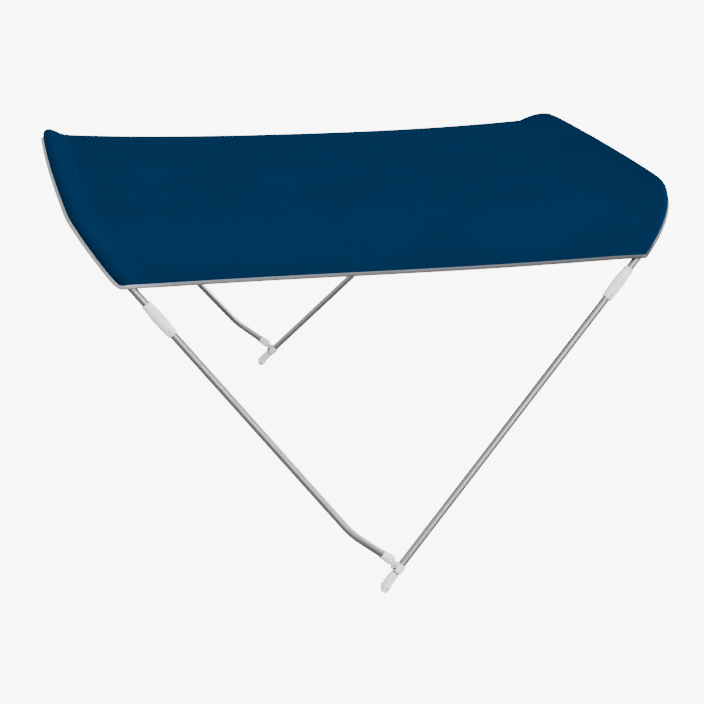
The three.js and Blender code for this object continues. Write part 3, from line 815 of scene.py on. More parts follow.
SECOND_STOP, MAIN_STOP, MAIN_COLUMNS = 6, 3, 4
HEM_START_INSET = 2.5 * MM
hem_offset = ((grid[0] - second_edge.tube[0]) * second_edge.square[0]).sum(-1)
turn_end = turns[0].section()[0][-1] - HEM_START_INSET
past_turn = int(np.nonzero((column > LEFT_FOLD) & (hem_offset < turn_end))[0][0])
hem_columns = range(past_turn, RIGHT_FOLD - MAIN_COLUMNS + 1)
run_second = side_path(second_edge, LEFT_FOLD, range(last_row - SECOND_STOP, SECOND_STOP - 1, -1))
run_right = hem_path(0, 1, hem_columns)
run_main = side_path(main_edge, RIGHT_FOLD, range(MAIN_STOP, last_row - MAIN_STOP + 1))
run_left = hem_path(last_row, last_row - 1, reversed(hem_columns))
print("places on the four runs:", [len(run) for run in (run_second, run_right, run_main, run_left)])

# %% [markdown]
# The corners join the runs. At the main bow the tape folds tightly, and a short smooth curve
# from one heading to the next is enough. At the second bow it follows the turn that was planned
# with the cloth: out at the fold first, then up, in and down to the hem.

# %% Corners of the path
CORNER_PLACES = 6
CORNER_EASE = 0.42


def corner_path(first_run, next_run):
    """A smooth turn from the end of one run of tape to the start of the next."""
    (before, _), (p0, wide_first) = first_run[-2:]
    (p3, wide_next), (after, _) = next_run[:2]
    reach = np.linalg.norm(p3 - p0) * CORNER_EASE
    pulls = [p0, p0 + unit(p0 - before) * reach, p3 + unit(p3 - after) * reach, p3]
    path = []
    for s in np.linspace(0, 1, CORNER_PLACES + 2)[1:-1]:
        heading = unit(bent([b - a for a, b in zip(pulls, pulls[1:])], s))
        blend = s * s * (3 - 2 * s)
        wide = unit(wide_first * (1 - blend) + wide_next * blend)
        path.append((bent(pulls, s), square_to(wide, heading)))
    return path


def turn_path(end):
    """Tape round one end of the second bow's pocket, between rows where it has to be."""
    edge, turn = second_edge, turns[end]
    spacing = (second_bow.hem - second_bow.half_bar) / FLAP_ROWS
    way = 1 if end else -1
    path = []
    for s, out, high, above in zip(turn.s, *turn.section(), turn.above):
        k = end - way * max(above, 0) / spacing
        low = min(int(k), last_row - 1)
        tube, outboard, normal, square, tangent = [
            values[low] * (low + 1 - k) + values[low + 1] * (k - low)
            for values in (edge.tube, edge.outboard, edge.normal, edge.square, edge.tangent)]
        aside = square * (1 - s) + outboard * s
        centre = tube + out * aside + high * normal - tangent * way * min(above, 0)
        quarter = math.pi / 2 * s
        wide = second_bow.out() * math.cos(quarter) + tangent * way * math.sin(quarter)
        path.append((centre, unit(wide)))
    return path


def squared(path):
    """Evens the outward directions, sets each square to the path, and adds the tape's normals."""
    centre, wide = (np.array(values) for values in zip(*path))
    for _ in range(4):
        wide = unit(wide + 0.5 * (np.roll(wide, 1, 0) + np.roll(wide, -1, 0)))
    heading = unit(np.roll(centre, -1, 0) - np.roll(centre, 1, 0))
    wide = square_to(wide, heading)
    return centre, wide, unit(np.cross(heading, wide))


tape_path = run_second + turn_path(0) + run_right + corner_path(run_right, run_main) + run_main
tape_path += corner_path(run_main, run_left) + run_left + turn_path(last_row)[::-1]
tape_centre, tape_wide, tape_thick = squared(tape_path)
print("tape path has", len(tape_path), "places")

# %% [markdown]
# The section is a flattened round, a little fuller at the outer edge, where the tape is folded.
# A plain rectangle would need bevels to look woven. Points near the inner side carry a painted
# highlight share of 1. The painted shade is none along the second bow, deepens along the hems
# towards the main bow, and is fairly deep along the main bow.

# %% The tape's skin
TAPE_THICKNESS = 5.0 * MM
TAPE_SIDES = 20
HEM_START, HEM_END = second_edge.tube[0][0], main_edge.tube[0][0]
HEM_BELOW = 905 * MM
HEM_BAND = 20 * MM


def tape_section():
    angle = 2 * np.pi * np.arange(TAPE_SIDES) / TAPE_SIDES
    c, s = np.cos(angle), np.sin(angle)
    out = np.copysign(np.abs(c) ** 0.75, c) * TAPE_WIDTH / 2
    up = np.copysign(np.abs(s) ** 0.8, s) * TAPE_THICKNESS / 2 * (0.88 + 0.12 * c)
    return out, up


def painted_tape_shade(centre):
    """How much painted shade darkens the tape at each place, from 0 to 1."""
    crossing = np.clip((centre[:, 0] - HEM_START) / (HEM_END - HEM_START), 0, 1)
    at_hem = np.clip((HEM_BELOW - centre[:, 2]) / HEM_BAND, 0, 1) * np.clip(crossing * 12, 0, 1)
    at_main = np.clip((centre[:, 0] - HEM_END) / HEM_BAND + 1, 0, 1)
    return np.maximum(at_hem * (0.55 + 0.35 * crossing), at_main * 0.6)


places = len(tape_path)
section_out, section_up = tape_section()
verts = (tape_centre[:, None] + tape_wide[:, None] * section_out[:, None]
         + tape_thick[:, None] * section_up[:, None]).reshape(-1, 3)
along_tape = travelled(tape_centre)
faces = ring_faces(places, TAPE_SIDES, loop=True)
tape = add_object("edge_tape", raw_mesh("edge_tape", verts, faces=faces), 60)
# painted highlight share: 1 near the tape's inner side, 0 at its folded outer edge
painted_highlight_share = np.clip(0.5 - section_out / TAPE_WIDTH * 1.6, 0, 1)
store(tape.data, "painted_highlight_share", "FLOAT", np.tile(painted_highlight_share, places))
# painted shade: how much each point of the tape is darkened
store(tape.data, "depth", "FLOAT", np.repeat(painted_tape_shade(tape_centre), TAPE_SIDES))
lay_flat(tape, np.stack([np.repeat(along_tape, TAPE_SIDES), np.tile(section_out, places)], -1))
outward(tape, merge=False)
tape.data.materials.append(tape_grey)
print("tape length", along_tape[-1])

# %% [markdown]
# ## Geometry Nodes for the tubes, the screws and the stitches
# A tube is a circle carried along a path, and a seam is one stitch repeated along a path. Both
# are rules, so a Geometry Nodes tree makes them, where loops over points would be slower and
# harder to change. This helper builds a tree with named inputs, runs it on a source mesh and
# keeps the plain result.


# %% Recipes
class Recipe(Tree):
    """A Geometry Nodes tree with named inputs."""

    def __init__(self, name, inputs):
        super().__init__(bpy.data.node_groups.new(name, "GeometryNodeTree"), "GeometryNode")
        face = self.tree.interface
        for label, kind in {"Geometry": "Geometry", **inputs, "Material": "Material"}.items():
            face.new_socket(label, in_out="INPUT", socket_type="NodeSocket" + kind)
        face.new_socket("Geometry", in_out="OUTPUT", socket_type="NodeSocketGeometry")
        self.given = self.node("NodeGroupInput")

    def curve(self):
        """The source mesh's edges as curves."""
        return self.node("MeshToCurve", {"Mesh": self.given["Geometry"]})[0]

    def named(self, name):
        """A direction kept on the source's points."""
        return self.node("InputNamedAttribute", {"Name": name}, data_type="FLOAT_VECTOR")[0]

    def aligned(self, wires, axis, pivot="AUTO"):
        return self.node("FunctionNodeAlignRotationToVector", wires, axis=axis, pivot_axis=pivot)[0]

    def finish(self, geometry):
        """Gives the geometry its material and makes it the result."""
        realized = self.node("RealizeInstances", {0: geometry})[0]
        material = self.given["Material"]
        painted = self.node("SetMaterial", {"Geometry": realized, "Material": material})[0]
        self.node("NodeGroupOutput", {0: painted})

    def finish_copies(self, points, label, rotation):
        """Sets a copy of the object given under a label on every point."""
        shape = self.node("ObjectInfo", {"Object": self.given[label]})["Geometry"]
        wires = {"Points": points, "Instance": shape, "Rotation": rotation}
        self.finish(self.node("InstanceOnPoints", wires)[0])

    def make(self, name, source, hard_angle=40, **values):
        """Runs the tree on the source mesh and returns the plain mesh as a new piece."""
        carrier = link(bpy.data.objects.new(name + "_source", source))
        modifier = adjust(carrier.modifiers.new(name, "NODES"), node_group=self.tree)
        for label, value in values.items():
            modifier[self.tree.interface.items_tree[label].identifier] = value
        return add_object(name, plain_mesh(carrier, name), hard_angle)


def path_mesh(name, paths):
    """Open lines of points as a mesh of edges."""
    starts = np.cumsum([0] + [len(points) for points in paths[:-1]])
    edges = [(s + i, s + i + 1) for s, points in zip(starts, paths) for i in range(len(points) - 1)]
    return raw_mesh(name, [p for points in paths for p in points], edges)


print("a recipe can:", [name for name in vars(Recipe) if name[0] != "_"])

# %% [markdown]
# The tube recipe carries a circle along a path. It stores where each point lies round the tube
# and along it, because the lines of a drawn tube follow it round every bend. A bevelled curve
# would give the same skin, but not these two places for the finish to read.

# %% The tube recipe
tube_recipe = Recipe("round tube on a path", {"Radius": "Float", "Sides": "Int"})


def marked(geometry, name, kind, value):
    """Stores a value on the points inside the tree, under a name that a finish can read."""
    wires = {"Geometry": geometry, "Name": name, "Value": value}
    return tube_recipe.node("StoreNamedAttribute", wires, data_type=kind, domain="POINT")[0]


length = tube_recipe.node("SplineParameter")["Length"]
sizes = {"Radius": tube_recipe.given["Radius"], "Resolution": tube_recipe.given["Sides"]}
circle = tube_recipe.node("CurvePrimitiveCircle", sizes, mode="RADIUS")["Curve"]
tube_recipe.finish(tube_recipe.node("CurveToMesh", {
    "Curve": marked(tube_recipe.curve(), "along_tube", "FLOAT", length),
    "Profile Curve": marked(circle, "round_tube", "FLOAT_VECTOR", tube_recipe.node("InputPosition")[0]),
    "Fill Caps": True})[0])
print("nodes in the tube recipe:", len(tube_recipe.tree.nodes))

# %% [markdown]
# The frame has two upper bows and four legs. The main legs are straight. Each second leg bends
# near its foot, so that its eye end meets the jaw on the main leg square on. All these places
# are worked out from the clamp's centre, because that is where the two bows meet.

# %% Where the legs run
MAIN_SLEEVE_UP = 1050 * MM
SECOND_SLEEVE_UP = 814 * MM
EYE_MOUTH_BELOW_CLAMP = 19 * MM
EYE_SOCKET_DEPTH = 34 * MM
EYE_PIN_ALONG, EYE_PIN_SIDE = 52 * MM, 5 * MM
HINGE_ALONG, HINGE_SIDE = -1 * MM, -20 * MM
BEND_REACH = 35 * MM
TUBE_END_GAP = 0.3 * MM
AWAY = main_bow.out()


class Leg:
    """Places and directions on one side of the frame; side is -1 on the right and 1 on the left."""

    def __init__(self, side, word):
        self.side, self.word = side, word
        self.clamp = np.array([CLAMP_X, side * CLAMP_HALF_SPAN, CLAMP_Z])
        self.up = main_bow.leg_up(side)
        self.down = -self.up
        self.mouth = self.clamp + self.down * EYE_MOUTH_BELOW_CLAMP
        self.hinge = self.clamp + self.down * HINGE_ALONG + AWAY * HINGE_SIDE
        self.bend = np.array([second_bow.foot_x, side * CLAMP_HALF_SPAN, second_bow.foot_z])
        reach = self.hinge - self.bend
        square = square_to(self.down, unit(reach))
        lean = math.asin(EYE_PIN_SIDE / np.linalg.norm(reach))
        self.lower = unit(unit(reach) * math.cos(lean) - square * math.sin(lean))
        self.lower_side = square_to(square, self.lower)
        self.second_mouth = self.hinge - self.lower * EYE_PIN_ALONG - self.lower_side * EYE_PIN_SIDE
        self.second_up = second_bow.leg_up(side)

    def main_path(self):
        start = self.mouth + self.down * (EYE_SOCKET_DEPTH - TUBE_END_GAP)
        return [start, self.clamp + self.up * (MAIN_SLEEVE_UP - TUBE_END_GAP)]

    def second_path(self):
        start = self.second_mouth + self.lower * (EYE_SOCKET_DEPTH - TUBE_END_GAP)
        turn_in = self.bend + self.lower * BEND_REACH
        turn_out = self.bend + self.second_up * BEND_REACH
        bend = [bent([turn_in, self.bend, turn_out], s) for s in np.linspace(0, 1, 15)]
        return [start] + bend + [self.bend + self.second_up * (SECOND_SLEEVE_UP - TUBE_END_GAP)]


legs = [Leg(-1, "right"), Leg(1, "left")]
print("length of a main leg:", np.linalg.norm(np.subtract(*legs[0].main_path())))

# %% [markdown]
# Each tube is its own piece, as it was cut and bent. Its ends stop just short of the next tube
# inside a sleeve, and of the bottom of the socket inside an eye end.

# %% Sweep the tubes
TUBE_SIDES = 40
BOW_STEPS = 180


def bow_path(bow, sleeve_up):
    end = bow.leg_distance(sleeve_up) - TUBE_END_GAP
    return bow.at(np.linspace(-end, end, BOW_STEPS + 1))


def sweep(name, path, node):
    pipe = tube_recipe.make(name, path_mesh(name, [path]), Radius=TUBE_RADIUS, Sides=TUBE_SIDES,
                            Material=anodised)
    return on_frame(outward(pipe), "frame_tube", node)


pipes = [sweep("main_bow_pipe", bow_path(main_bow, MAIN_SLEEVE_UP), "main_bow_tube"),
         sweep("second_bow_pipe", bow_path(second_bow, SECOND_SLEEVE_UP), "second_bow_tube")]
for leg in legs:
    pipes.append(sweep("main_leg_pipe_" + leg.word, leg.main_path(), "main_leg_" + leg.word))
    pipes.append(sweep("second_leg_pipe_" + leg.word, leg.second_path(), "second_leg_" + leg.word))
print("pipes:", [p.name for p in pipes])

# %% [markdown]
# ## Moulded fittings
# The white fittings are injection-moulded nylon: plain turned and flat forms that run into each
# other with small rounded edges. Bevelling so many meeting edges by hand fails where three of
# them cross. So each fitting is made from simple solids that overlap, remeshing on a fine grid
# joins them into one skin, and a little smoothing gives the moulded radius.


# %% Solids for mouldings
def turned(profile, sides=64, loop=False, ridge=None):
    """A solid turned about local x from (x, radius) pairs, capped unless they make a loop."""
    verts = []
    for x, radius in profile:
        for a in full_turn(sides):
            r = radius + ridge(radius, a) if ridge else radius
            verts.append((x, r * math.cos(a), r * math.sin(a)))
    return verts, ring_faces(len(profile), sides, loop)


def slab(outline, low, high):
    """A flat plate between two heights on local z."""
    verts = [(x, y, z) for z in (low, high) for x, y in outline]
    return verts, ring_faces(2, len(outline))


def box(x_low, x_high, y_low, y_high, half):
    return slab([(x_low, y_low), (x_high, y_low), (x_high, y_high), (x_low, y_high)], -half, half)


def round_end(x, y, radius, start, stop):
    """Places along part of a circle, for the end of an outline."""
    return [(x + radius * math.cos(a), y + radius * math.sin(a)) for a in np.linspace(start, stop, 16)]


def pin_hole(radius, x, y, length=60 * MM):
    """A cutter for a round hole along local z."""
    verts, faces = turned([(-length / 2, radius), (length / 2, radius)], 40)
    return [(x + vy, y + vz, vx) for vx, vy, vz in verts], faces


def shifted(solid, matrix):
    verts, faces = solid
    return [tuple(matrix @ Vector(v)) for v in verts], faces


def solid_object(name, solid):
    verts, faces = solid
    return outward(add_object(name, raw_mesh(name, verts, faces=faces)))


print("points on a pin hole's cutter:", len(pin_hole(3 * MM, 0, 0)[0]))

# %% [markdown]
# Holes and slots are cut with exact booleans, between the first remesh and the second, so that
# their rims are rounded with the rest. The cutters are thrown away once the mesh is plain.

# %% Join, cut and round
MOULD_GRID = 0.6 * MM
MOULD_ROUNDING = 4


def modify(body, kind, **settings):
    adjust(body.modifiers.new(kind.lower(), kind), **settings)


def cut_away(body, cuts):
    """Adds a boolean for each cut, and returns the cutters."""
    cutters = [solid_object("cut", cut) for cut in cuts]
    for cutter in cutters:
        modify(body, "BOOLEAN", operation="DIFFERENCE", solver="EXACT", object=cutter)
    return cutters


def finished_mesh(body, name, cutters):
    mesh = plain_mesh(body, name)
    for cutter in cutters:
        bpy.data.objects.remove(cutter)
    return mesh


def moulded(name, solids, cuts):
    """Joins overlapping solids, cuts the holes, then rounds every edge a little."""
    verts, faces = [], []
    for solid_verts, solid_faces in solids:
        start = len(verts)
        verts += solid_verts
        faces += [tuple(start + i for i in face) for face in solid_faces]
    body = solid_object(name + "_body", (verts, faces))
    modify(body, "REMESH", mode="VOXEL", voxel_size=MOULD_GRID)
    cutters = cut_away(body, cuts)
    modify(body, "REMESH", mode="VOXEL", voxel_size=MOULD_GRID)
    modify(body, "SMOOTH", factor=0.5, iterations=MOULD_ROUNDING)
    return finished_mesh(body, name, cutters)


def placed(mesh, name, origin, x_axis, y_axis, node):
    """A copy of a moulding at its place on the frame, with the place in its mesh."""
    x_axis, y_axis = Vector(x_axis), Vector(y_axis)
    matrix = Matrix([x_axis, y_axis, x_axis.cross(y_axis)]).transposed().to_4x4()
    matrix.translation = Vector(origin)
    copy = mesh.copy()
    copy.transform(matrix)
    piece = add_object(name, copy, 60)
    piece.data.materials.append(nylon)
    return on_frame(piece, "white_fitting", node)


print("grid for the mouldings:", MOULD_GRID, "smoothed", MOULD_ROUNDING, "times")


# %% [markdown]
# The sleeve is a hand-sized barrel that joins the upper bow to its leg: a rim at the top, a
# swelling middle, and a plain lower end with one small screw. It is a turned shape with nothing
# else running into it, so its rings are drawn straight from a profile: a place along it as a
# share of its length, and the radius there in millimetres. Two faint ridges mark the mould's
# parting line.

# %% The sleeve's shape
SLEEVE_LENGTH = 112 * MM
BORE_RADIUS = 11.25 * MM
BORE_EDGE = 3 * MM
SLEEVE_RINGS, SLEEVE_SIDES = 70, 72
PARTING_HEIGHT, PARTING_WIDTH = 0.16 * MM, 0.05
sleeve_shape = [(-0.5, 13.4), (-0.49, 14.1), (-0.46, 14.7), (-0.4, 15.4), (-0.3, 16.2), (-0.2, 16.7),
                (-0.1, 16.9), (0, 17.0), (0.1, 16.9), (0.2, 16.4), (0.3, 15.5), (0.38, 14.6),
                (0.425, 14.1), (0.43, 14.9), (0.45, 15.0), (0.485, 14.9), (0.5, 14.3)]


def sleeve_profile():
    """The outer side from foot to rim, smoothed below the rim, then the bore's two edges."""
    shares, radii = zip(*sleeve_shape)
    xs = np.array(shares) * SLEEVE_LENGTH
    fine = np.unique(np.concatenate([np.linspace(xs[0], xs[-1], SLEEVE_RINGS), xs]))
    outer = np.interp(fine, xs, np.array(radii) * MM)
    below_rim = fine[1:-1] < 0.41 * SLEEVE_LENGTH
    for _ in range(3):
        outer[1:-1] = np.where(below_rim, (outer[:-2] + outer[1:-1] + outer[2:]) / 3, outer[1:-1])
    ends = (fine[-1], fine[-1] - BORE_EDGE, fine[0] + BORE_EDGE, fine[0])
    return list(zip(fine, outer)) + [(x, BORE_RADIUS) for x in ends]


def parting_line(radius, angle):
    """The height of the ridges: two on the outer side, and none in the bore."""
    ridge = PARTING_HEIGHT * math.exp(-((math.sin(angle) / PARTING_WIDTH) ** 2))
    return ridge if radius > BORE_RADIUS else 0.0


print("rings on the sleeve:", len(sleeve_profile()))

# %% [markdown]
# The screw sits in a round seat in the sleeve's outer side. A bevel on the sharp edges follows
# the cut, so the seat and both rims catch a thin line of light. The finished sleeve is placed
# four times, because both bows take the same moulding on both sides.

# %% Cut and place the sleeves
SCREW_ALONG = -0.38 * SLEEVE_LENGTH
SCREW_SEAT_RADIUS = 3.6 * MM
SEAT_CUTTER_LENGTH, SEAT_CUTTER_UP = 20 * MM, 24.2 * MM
SLEEVE_SCREW_OUT = 14.9 * MM


def sleeve_mesh():
    body = solid_object("sleeve_body", turned(sleeve_profile(), SLEEVE_SIDES, True, parting_line))
    seat = pin_hole(SCREW_SEAT_RADIUS, SCREW_ALONG, 0, SEAT_CUTTER_LENGTH)
    cutters = cut_away(body, [shifted(seat, Matrix.Translation((0, 0, SEAT_CUTTER_UP)))])
    modify(body, "BEVEL", width=0.3 * MM, segments=2, limit_method="ANGLE", angle_limit=math.radians(50))
    return finished_mesh(body, "sleeve", cutters)


barrel = sleeve_mesh()
sleeve_places = []
for leg in legs:
    for bow_name, up, foot, height in (("main", leg.up, leg.clamp, MAIN_SLEEVE_UP),
                                       ("second", leg.second_up, leg.bend, SECOND_SLEEVE_UP)):
        middle = foot + up * height
        outside = square_to(np.array([0.0, leg.side, 0.0]), up)
        placed(barrel, f"{bow_name}_barrel_{leg.word}", middle, up, np.cross(outside, up),
               f"{bow_name}_sleeve_{leg.word}")
        sleeve_places.append((middle + up * SCREW_ALONG + outside * SLEEVE_SCREW_OUT, outside))
print("sleeves placed:", len(sleeve_places))

# %% [markdown]
# The eye end is a cap over the tube's end that narrows to a flat tongue with a pin hole. The
# tongue leans off the tube's axis. On the main bow, whose feet carry the whole frame, a thick
# collar sits between cap and tongue. These parts run into each other, so they are joined as a
# moulding. The second bow's tongue is shorter, to clear the jaw it turns in.

# %% Eye ends
TONGUE_HALF = 4 * MM
TONGUE_ROOT_HALF = 12 * MM
EYE_BODY = 40 * MM
COLLAR_RADIUS = 16.6 * MM
COLLAR_OFF_AXIS = 1.5 * MM


def eye_mesh(main):
    shoulder = EYE_BODY - 3 * MM if main else EYE_BODY
    tip = 12 * MM if main else 6.5 * MM
    half = TONGUE_HALF + 0.8 * MM if main else TONGUE_HALF
    hole = 3.6 * MM if main else 3.3 * MM
    cap = turned([(0, 13.0 * MM), (0.5 * MM, 13.3 * MM), (8 * MM, 13.5 * MM), (34 * MM, 14.4 * MM),
                  (shoulder, 13.6 * MM), (shoulder + 3 * MM, 10.5 * MM)])
    root = EYE_BODY - 4 * MM
    lean = math.atan2(EYE_PIN_SIDE, EYE_PIN_ALONG - root)
    tongue = [(root, -TONGUE_ROOT_HALF)]
    tongue += round_end(EYE_PIN_ALONG, EYE_PIN_SIDE, tip, lean - math.pi / 2, lean + math.pi / 2)
    tongue += [(root, TONGUE_ROOT_HALF)]
    solids = [cap, slab(tongue, -half, half)]
    if main:
        ring = turned([(-4 * MM, COLLAR_RADIUS - 3 * MM), (-2 * MM, COLLAR_RADIUS),
                       (3.5 * MM, COLLAR_RADIUS), (6 * MM, COLLAR_RADIUS - 5 * MM)])
        centre = Matrix.Translation((EYE_BODY + 3 * MM, COLLAR_OFF_AXIS, 0))
        solids.append(shifted(ring, centre @ Matrix.Rotation(lean, 4, "Z")))
    socket = turned([(-1 * MM, BORE_RADIUS), (EYE_SOCKET_DEPTH, BORE_RADIUS)])
    return moulded("eye", solids, [socket, pin_hole(hole, EYE_PIN_ALONG, EYE_PIN_SIDE)])


main_eye, second_eye = eye_mesh(True), eye_mesh(False)
for leg in legs:
    placed(main_eye, "main_eye_end_" + leg.word, leg.mouth, leg.down, AWAY, "main_eye_" + leg.word)
for leg in legs:
    placed(second_eye, "second_eye_end_" + leg.word, leg.second_mouth, leg.lower, leg.lower_side,
           "second_eye_" + leg.word)
print("eye end faces", len(main_eye.polygons), len(second_eye.polygons))

# %% [markdown]
# The jaw slide is a ring that clamps the main leg, with a fork that holds the second bow's eye.
# One bolt squeezes the ring and one screw is the hinge. Ring and fork are a turned solid and a
# plate, joined as a moulding. The cuts are the slot for the eye, the bore for the tube, the
# split that lets the ring close, the two holes and a round seat for each end of the bolt.

# %% Jaw slides
JAW_TOP, JAW_FOOT = -13 * MM, 14 * MM
JAW_RADIUS = 15.6 * MM
JAW_HALF = 8.6 * MM
SLOT_HALF, SPLIT_HALF = TONGUE_HALF + 0.4 * MM, 0.6 * MM
BOLT_ALONG, BOLT_SIDE = 9 * MM, -15 * MM
BOLT_SEAT_DEPTH = 1.2 * MM
CUT_LONG = 40 * MM


def jaw_mesh():
    ring = turned([(JAW_TOP, JAW_RADIUS), (JAW_FOOT, JAW_RADIUS)])
    outline = [(JAW_FOOT, -9 * MM), (JAW_FOOT, BOLT_SIDE - 3 * MM)]
    outline += [(HINGE_ALONG + 7 * MM, HINGE_SIDE - 4 * MM)]
    outline += round_end(HINGE_ALONG, HINGE_SIDE, 8 * MM, -0.5, -math.pi + 0.3)
    outline += [(JAW_TOP, -9 * MM)]
    slot_end = HINGE_ALONG + 6.8 * MM
    cuts = [box(slot_end - 22 * MM, slot_end, HINGE_SIDE - 15 * MM, HINGE_SIDE + 6.8 * MM, SLOT_HALF),
            turned([(-CUT_LONG, BORE_RADIUS), (CUT_LONG, BORE_RADIUS)]),
            box(-CUT_LONG, CUT_LONG, -20 * MM, 0, SPLIT_HALF),
            pin_hole(3.1 * MM, HINGE_ALONG, HINGE_SIDE),
            pin_hole(2.3 * MM, BOLT_ALONG, BOLT_SIDE)]
    seat = pin_hole(4.4 * MM, BOLT_ALONG, BOLT_SIDE, 10 * MM)
    seat_middle = JAW_HALF - BOLT_SEAT_DEPTH + 5 * MM
    cuts += [shifted(seat, Matrix.Translation((0, 0, way * seat_middle))) for way in (-1, 1)]
    return moulded("jaw", [ring, slab(outline, -JAW_HALF, JAW_HALF)], cuts)


jaw = jaw_mesh()
for leg in legs:
    placed(jaw, "jaw_" + leg.word, leg.clamp, leg.down, AWAY, "jaw_slide_" + leg.word)
print("jaw faces", len(jaw.polygons))

# %% [markdown]
# ## Screws
# Twelve screw heads show: one in each sleeve, and one at each end of the hinge screws and the
# clamp bolts. Each could be placed by hand, but one head of each kind is made, and a Geometry
# Nodes tree sets a copy at every marked place, turned to face along the direction kept there.


# %% Screw heads
def head_mesh(name, radius, height, shank, recess_radius, recess_depth):
    """A domed head on a short shank, with a six-sided socket in its top; +Z points out of it."""
    profile = [(-shank, radius * 0.5), (0, radius * 0.5), (0, radius * 0.97), (0.15 * height, radius)]
    for a in np.linspace(0.3, 1.5, 6):
        profile.append((height * math.sin(a), radius * (0.62 + 0.38 * math.cos(a))))
    verts, faces = turned(profile, 32)
    body = solid_object(name + "_body", ([(y, z, x) for x, y, z in verts], faces))
    hexagon = [(recess_radius * math.cos(a), recess_radius * math.sin(a)) for a in full_turn(6)]
    cutters = cut_away(body, [slab(hexagon, height - recess_depth, height + 2 * MM)])
    return finished_mesh(body, name, cutters)


screw_recipe = Recipe("screws at places", {"Head": "Object"})
turned_out = screw_recipe.aligned({"Vector": screw_recipe.named("facing")}, "Z")
screw_recipe.finish_copies(screw_recipe.given["Geometry"], "Head", turned_out)


def set_screws(name, head, places, material, *nodes):
    """Sets a copy of a head at each (place, direction it faces)."""
    source = raw_mesh(name + "_places", [place for place, _ in places])
    store(source, "facing", "FLOAT_VECTOR", [direction for _, direction in places])
    head_object = link(bpy.data.objects.new(name + "_head", head))
    piece = screw_recipe.make(name, source, Head=head_object, Material=material)
    bpy.data.objects.remove(head_object)
    return on_frame(piece, "steel_screw", *nodes)


print("nodes in the screw recipe:", len(screw_recipe.tree.nodes))

# %% [markdown]
# The sleeve screws are small and bright, and the hinge screws larger. The clamp bolts are dark
# and sit down in their seats. A hinge screw and a bolt show a head on both sides of the jaw.

# %% Set the screws
HINGE_LIFT = 0.1 * MM
BOLT_SINK = 1.1 * MM
hinge_places, bolt_places = [], []
for leg in legs:
    bolt = leg.clamp + leg.down * BOLT_ALONG + AWAY * BOLT_SIDE
    for way in (-1, 1):
        through = unit(np.cross(leg.down, AWAY)) * way
        hinge_places.append((leg.hinge + through * (JAW_HALF + HINGE_LIFT), through))
        bolt_places.append((bolt + through * (JAW_HALF - BOLT_SINK), through))
screw_kinds = [
    ("sleeve_screws", (3.3, 1.6, 3, 1.3, 1.2), sleeve_places, bright_steel,
     "main_sleeve_screw_", "second_sleeve_screw_"),
    ("hinge_screws", (5.4, 2.8, 6, 2.0, 1.8), hinge_places, bright_steel, "jaw_hinge_screw_"),
    ("clamp_bolts", (3.7, 2.6, 6, 1.9, 2.2), bolt_places, dark_steel, "jaw_clamp_bolt_")]
for name, sizes, screw_places, steel, *solids in screw_kinds:
    head = head_mesh(name + "_head", *[size * MM for size in sizes])
    set_screws(name, head, screw_places, steel, *[solid + leg.word for solid in solids for leg in legs])
    print(name, "set:", len(screw_places))

# %% [markdown]
# ## Stitches
# Two rows of navy stitches hold each pocket, and one row of grey stitches runs along the tape.
# A stitch is a short thread that dips into the cloth at both ends. A dashed bump would vanish
# at a slant, so each stitch is a small solid of a few faces. The tree spaces them evenly along
# each path and turns each to follow it, with its back to the cloth.

# %% The stitch recipe
STITCH_LENGTH = 3.4 * MM
STITCH_PITCH = 4.6 * MM
THREAD_RADIUS = 0.32 * MM
STITCH_RISE, STITCH_DIP = 0.3 * MM, 0.15 * MM


def stitch_object():
    sides, rings = 5, 5
    verts = []
    for s in np.linspace(0, 1, rings):
        lift = STITCH_RISE * math.sin(math.pi * s) - STITCH_DIP
        radius = THREAD_RADIUS * (0.55 + 0.45 * math.sin(math.pi * s))
        for a in full_turn(sides):
            verts.append(((s - 0.5) * STITCH_LENGTH, radius * math.cos(a), lift + radius * math.sin(a)))
    return outward(add_object("stitch", raw_mesh("stitch", verts, faces=ring_faces(rings, sides)), 80))


stitch_recipe = Recipe("stitches along a path", {"Stitch": "Object", "Pitch": "Float"})
every_pitch = {"Curve": stitch_recipe.curve(), "Length": stitch_recipe.given["Pitch"]}
spaced = stitch_recipe.node("CurveToPoints", every_pitch, mode="LENGTH")
along = stitch_recipe.aligned({"Vector": spaced["Tangent"]}, "X")
upright = stitch_recipe.aligned({"Rotation": along, "Vector": stitch_recipe.named("lift")}, "Z", "X")
stitch_recipe.finish_copies(spaced["Points"], "Stitch", upright)
print("nodes in the stitch recipe:", len(stitch_recipe.tree.nodes))

# %% [markdown]
# Thread is twisted, so a fine noise roughens it. The navy thread is a little paler than the
# canvas, because it is new polyester on duller cloth. Each seam line keeps the cloth's normal
# beside its points, which the recipe reads as the way up.


# %% Threads and sewing
def thread_finish(name, color):
    finish = Finish(name, color, 0.8, Specular_IOR_Level=0.05)
    finish.bumped(finish.noise(finish.node("TexCoord")["Object"], 2500), 0.05 * MM, 0.5)
    return finish.material


def sew(name, lines, material, slot):
    """Stitches along lines of (points, normals)."""
    source = path_mesh(name + "_lines", [points for points, _ in lines])
    store(source, "lift", "FLOAT_VECTOR", np.concatenate([ups for _, ups in lines]))
    stitch = stitch_object()
    piece = stitch_recipe.make(name, source, 80, Stitch=stitch, Pitch=STITCH_PITCH, Material=material)
    bpy.data.objects.remove(stitch)
    return on_frame(piece, slot)


navy_thread = thread_finish("navy thread", (0.0016, 0.030, 0.085))
grey_thread = thread_finish("grey thread", (0.20, 0.195, 0.19))
print("threads:", navy_thread.name, grey_thread.name)

# %% [markdown]
# The pocket's two rows run on the seam and 8 mm into the panel, on top and under the turned
# layer. The tape's row runs near its inner edge, on both faces.

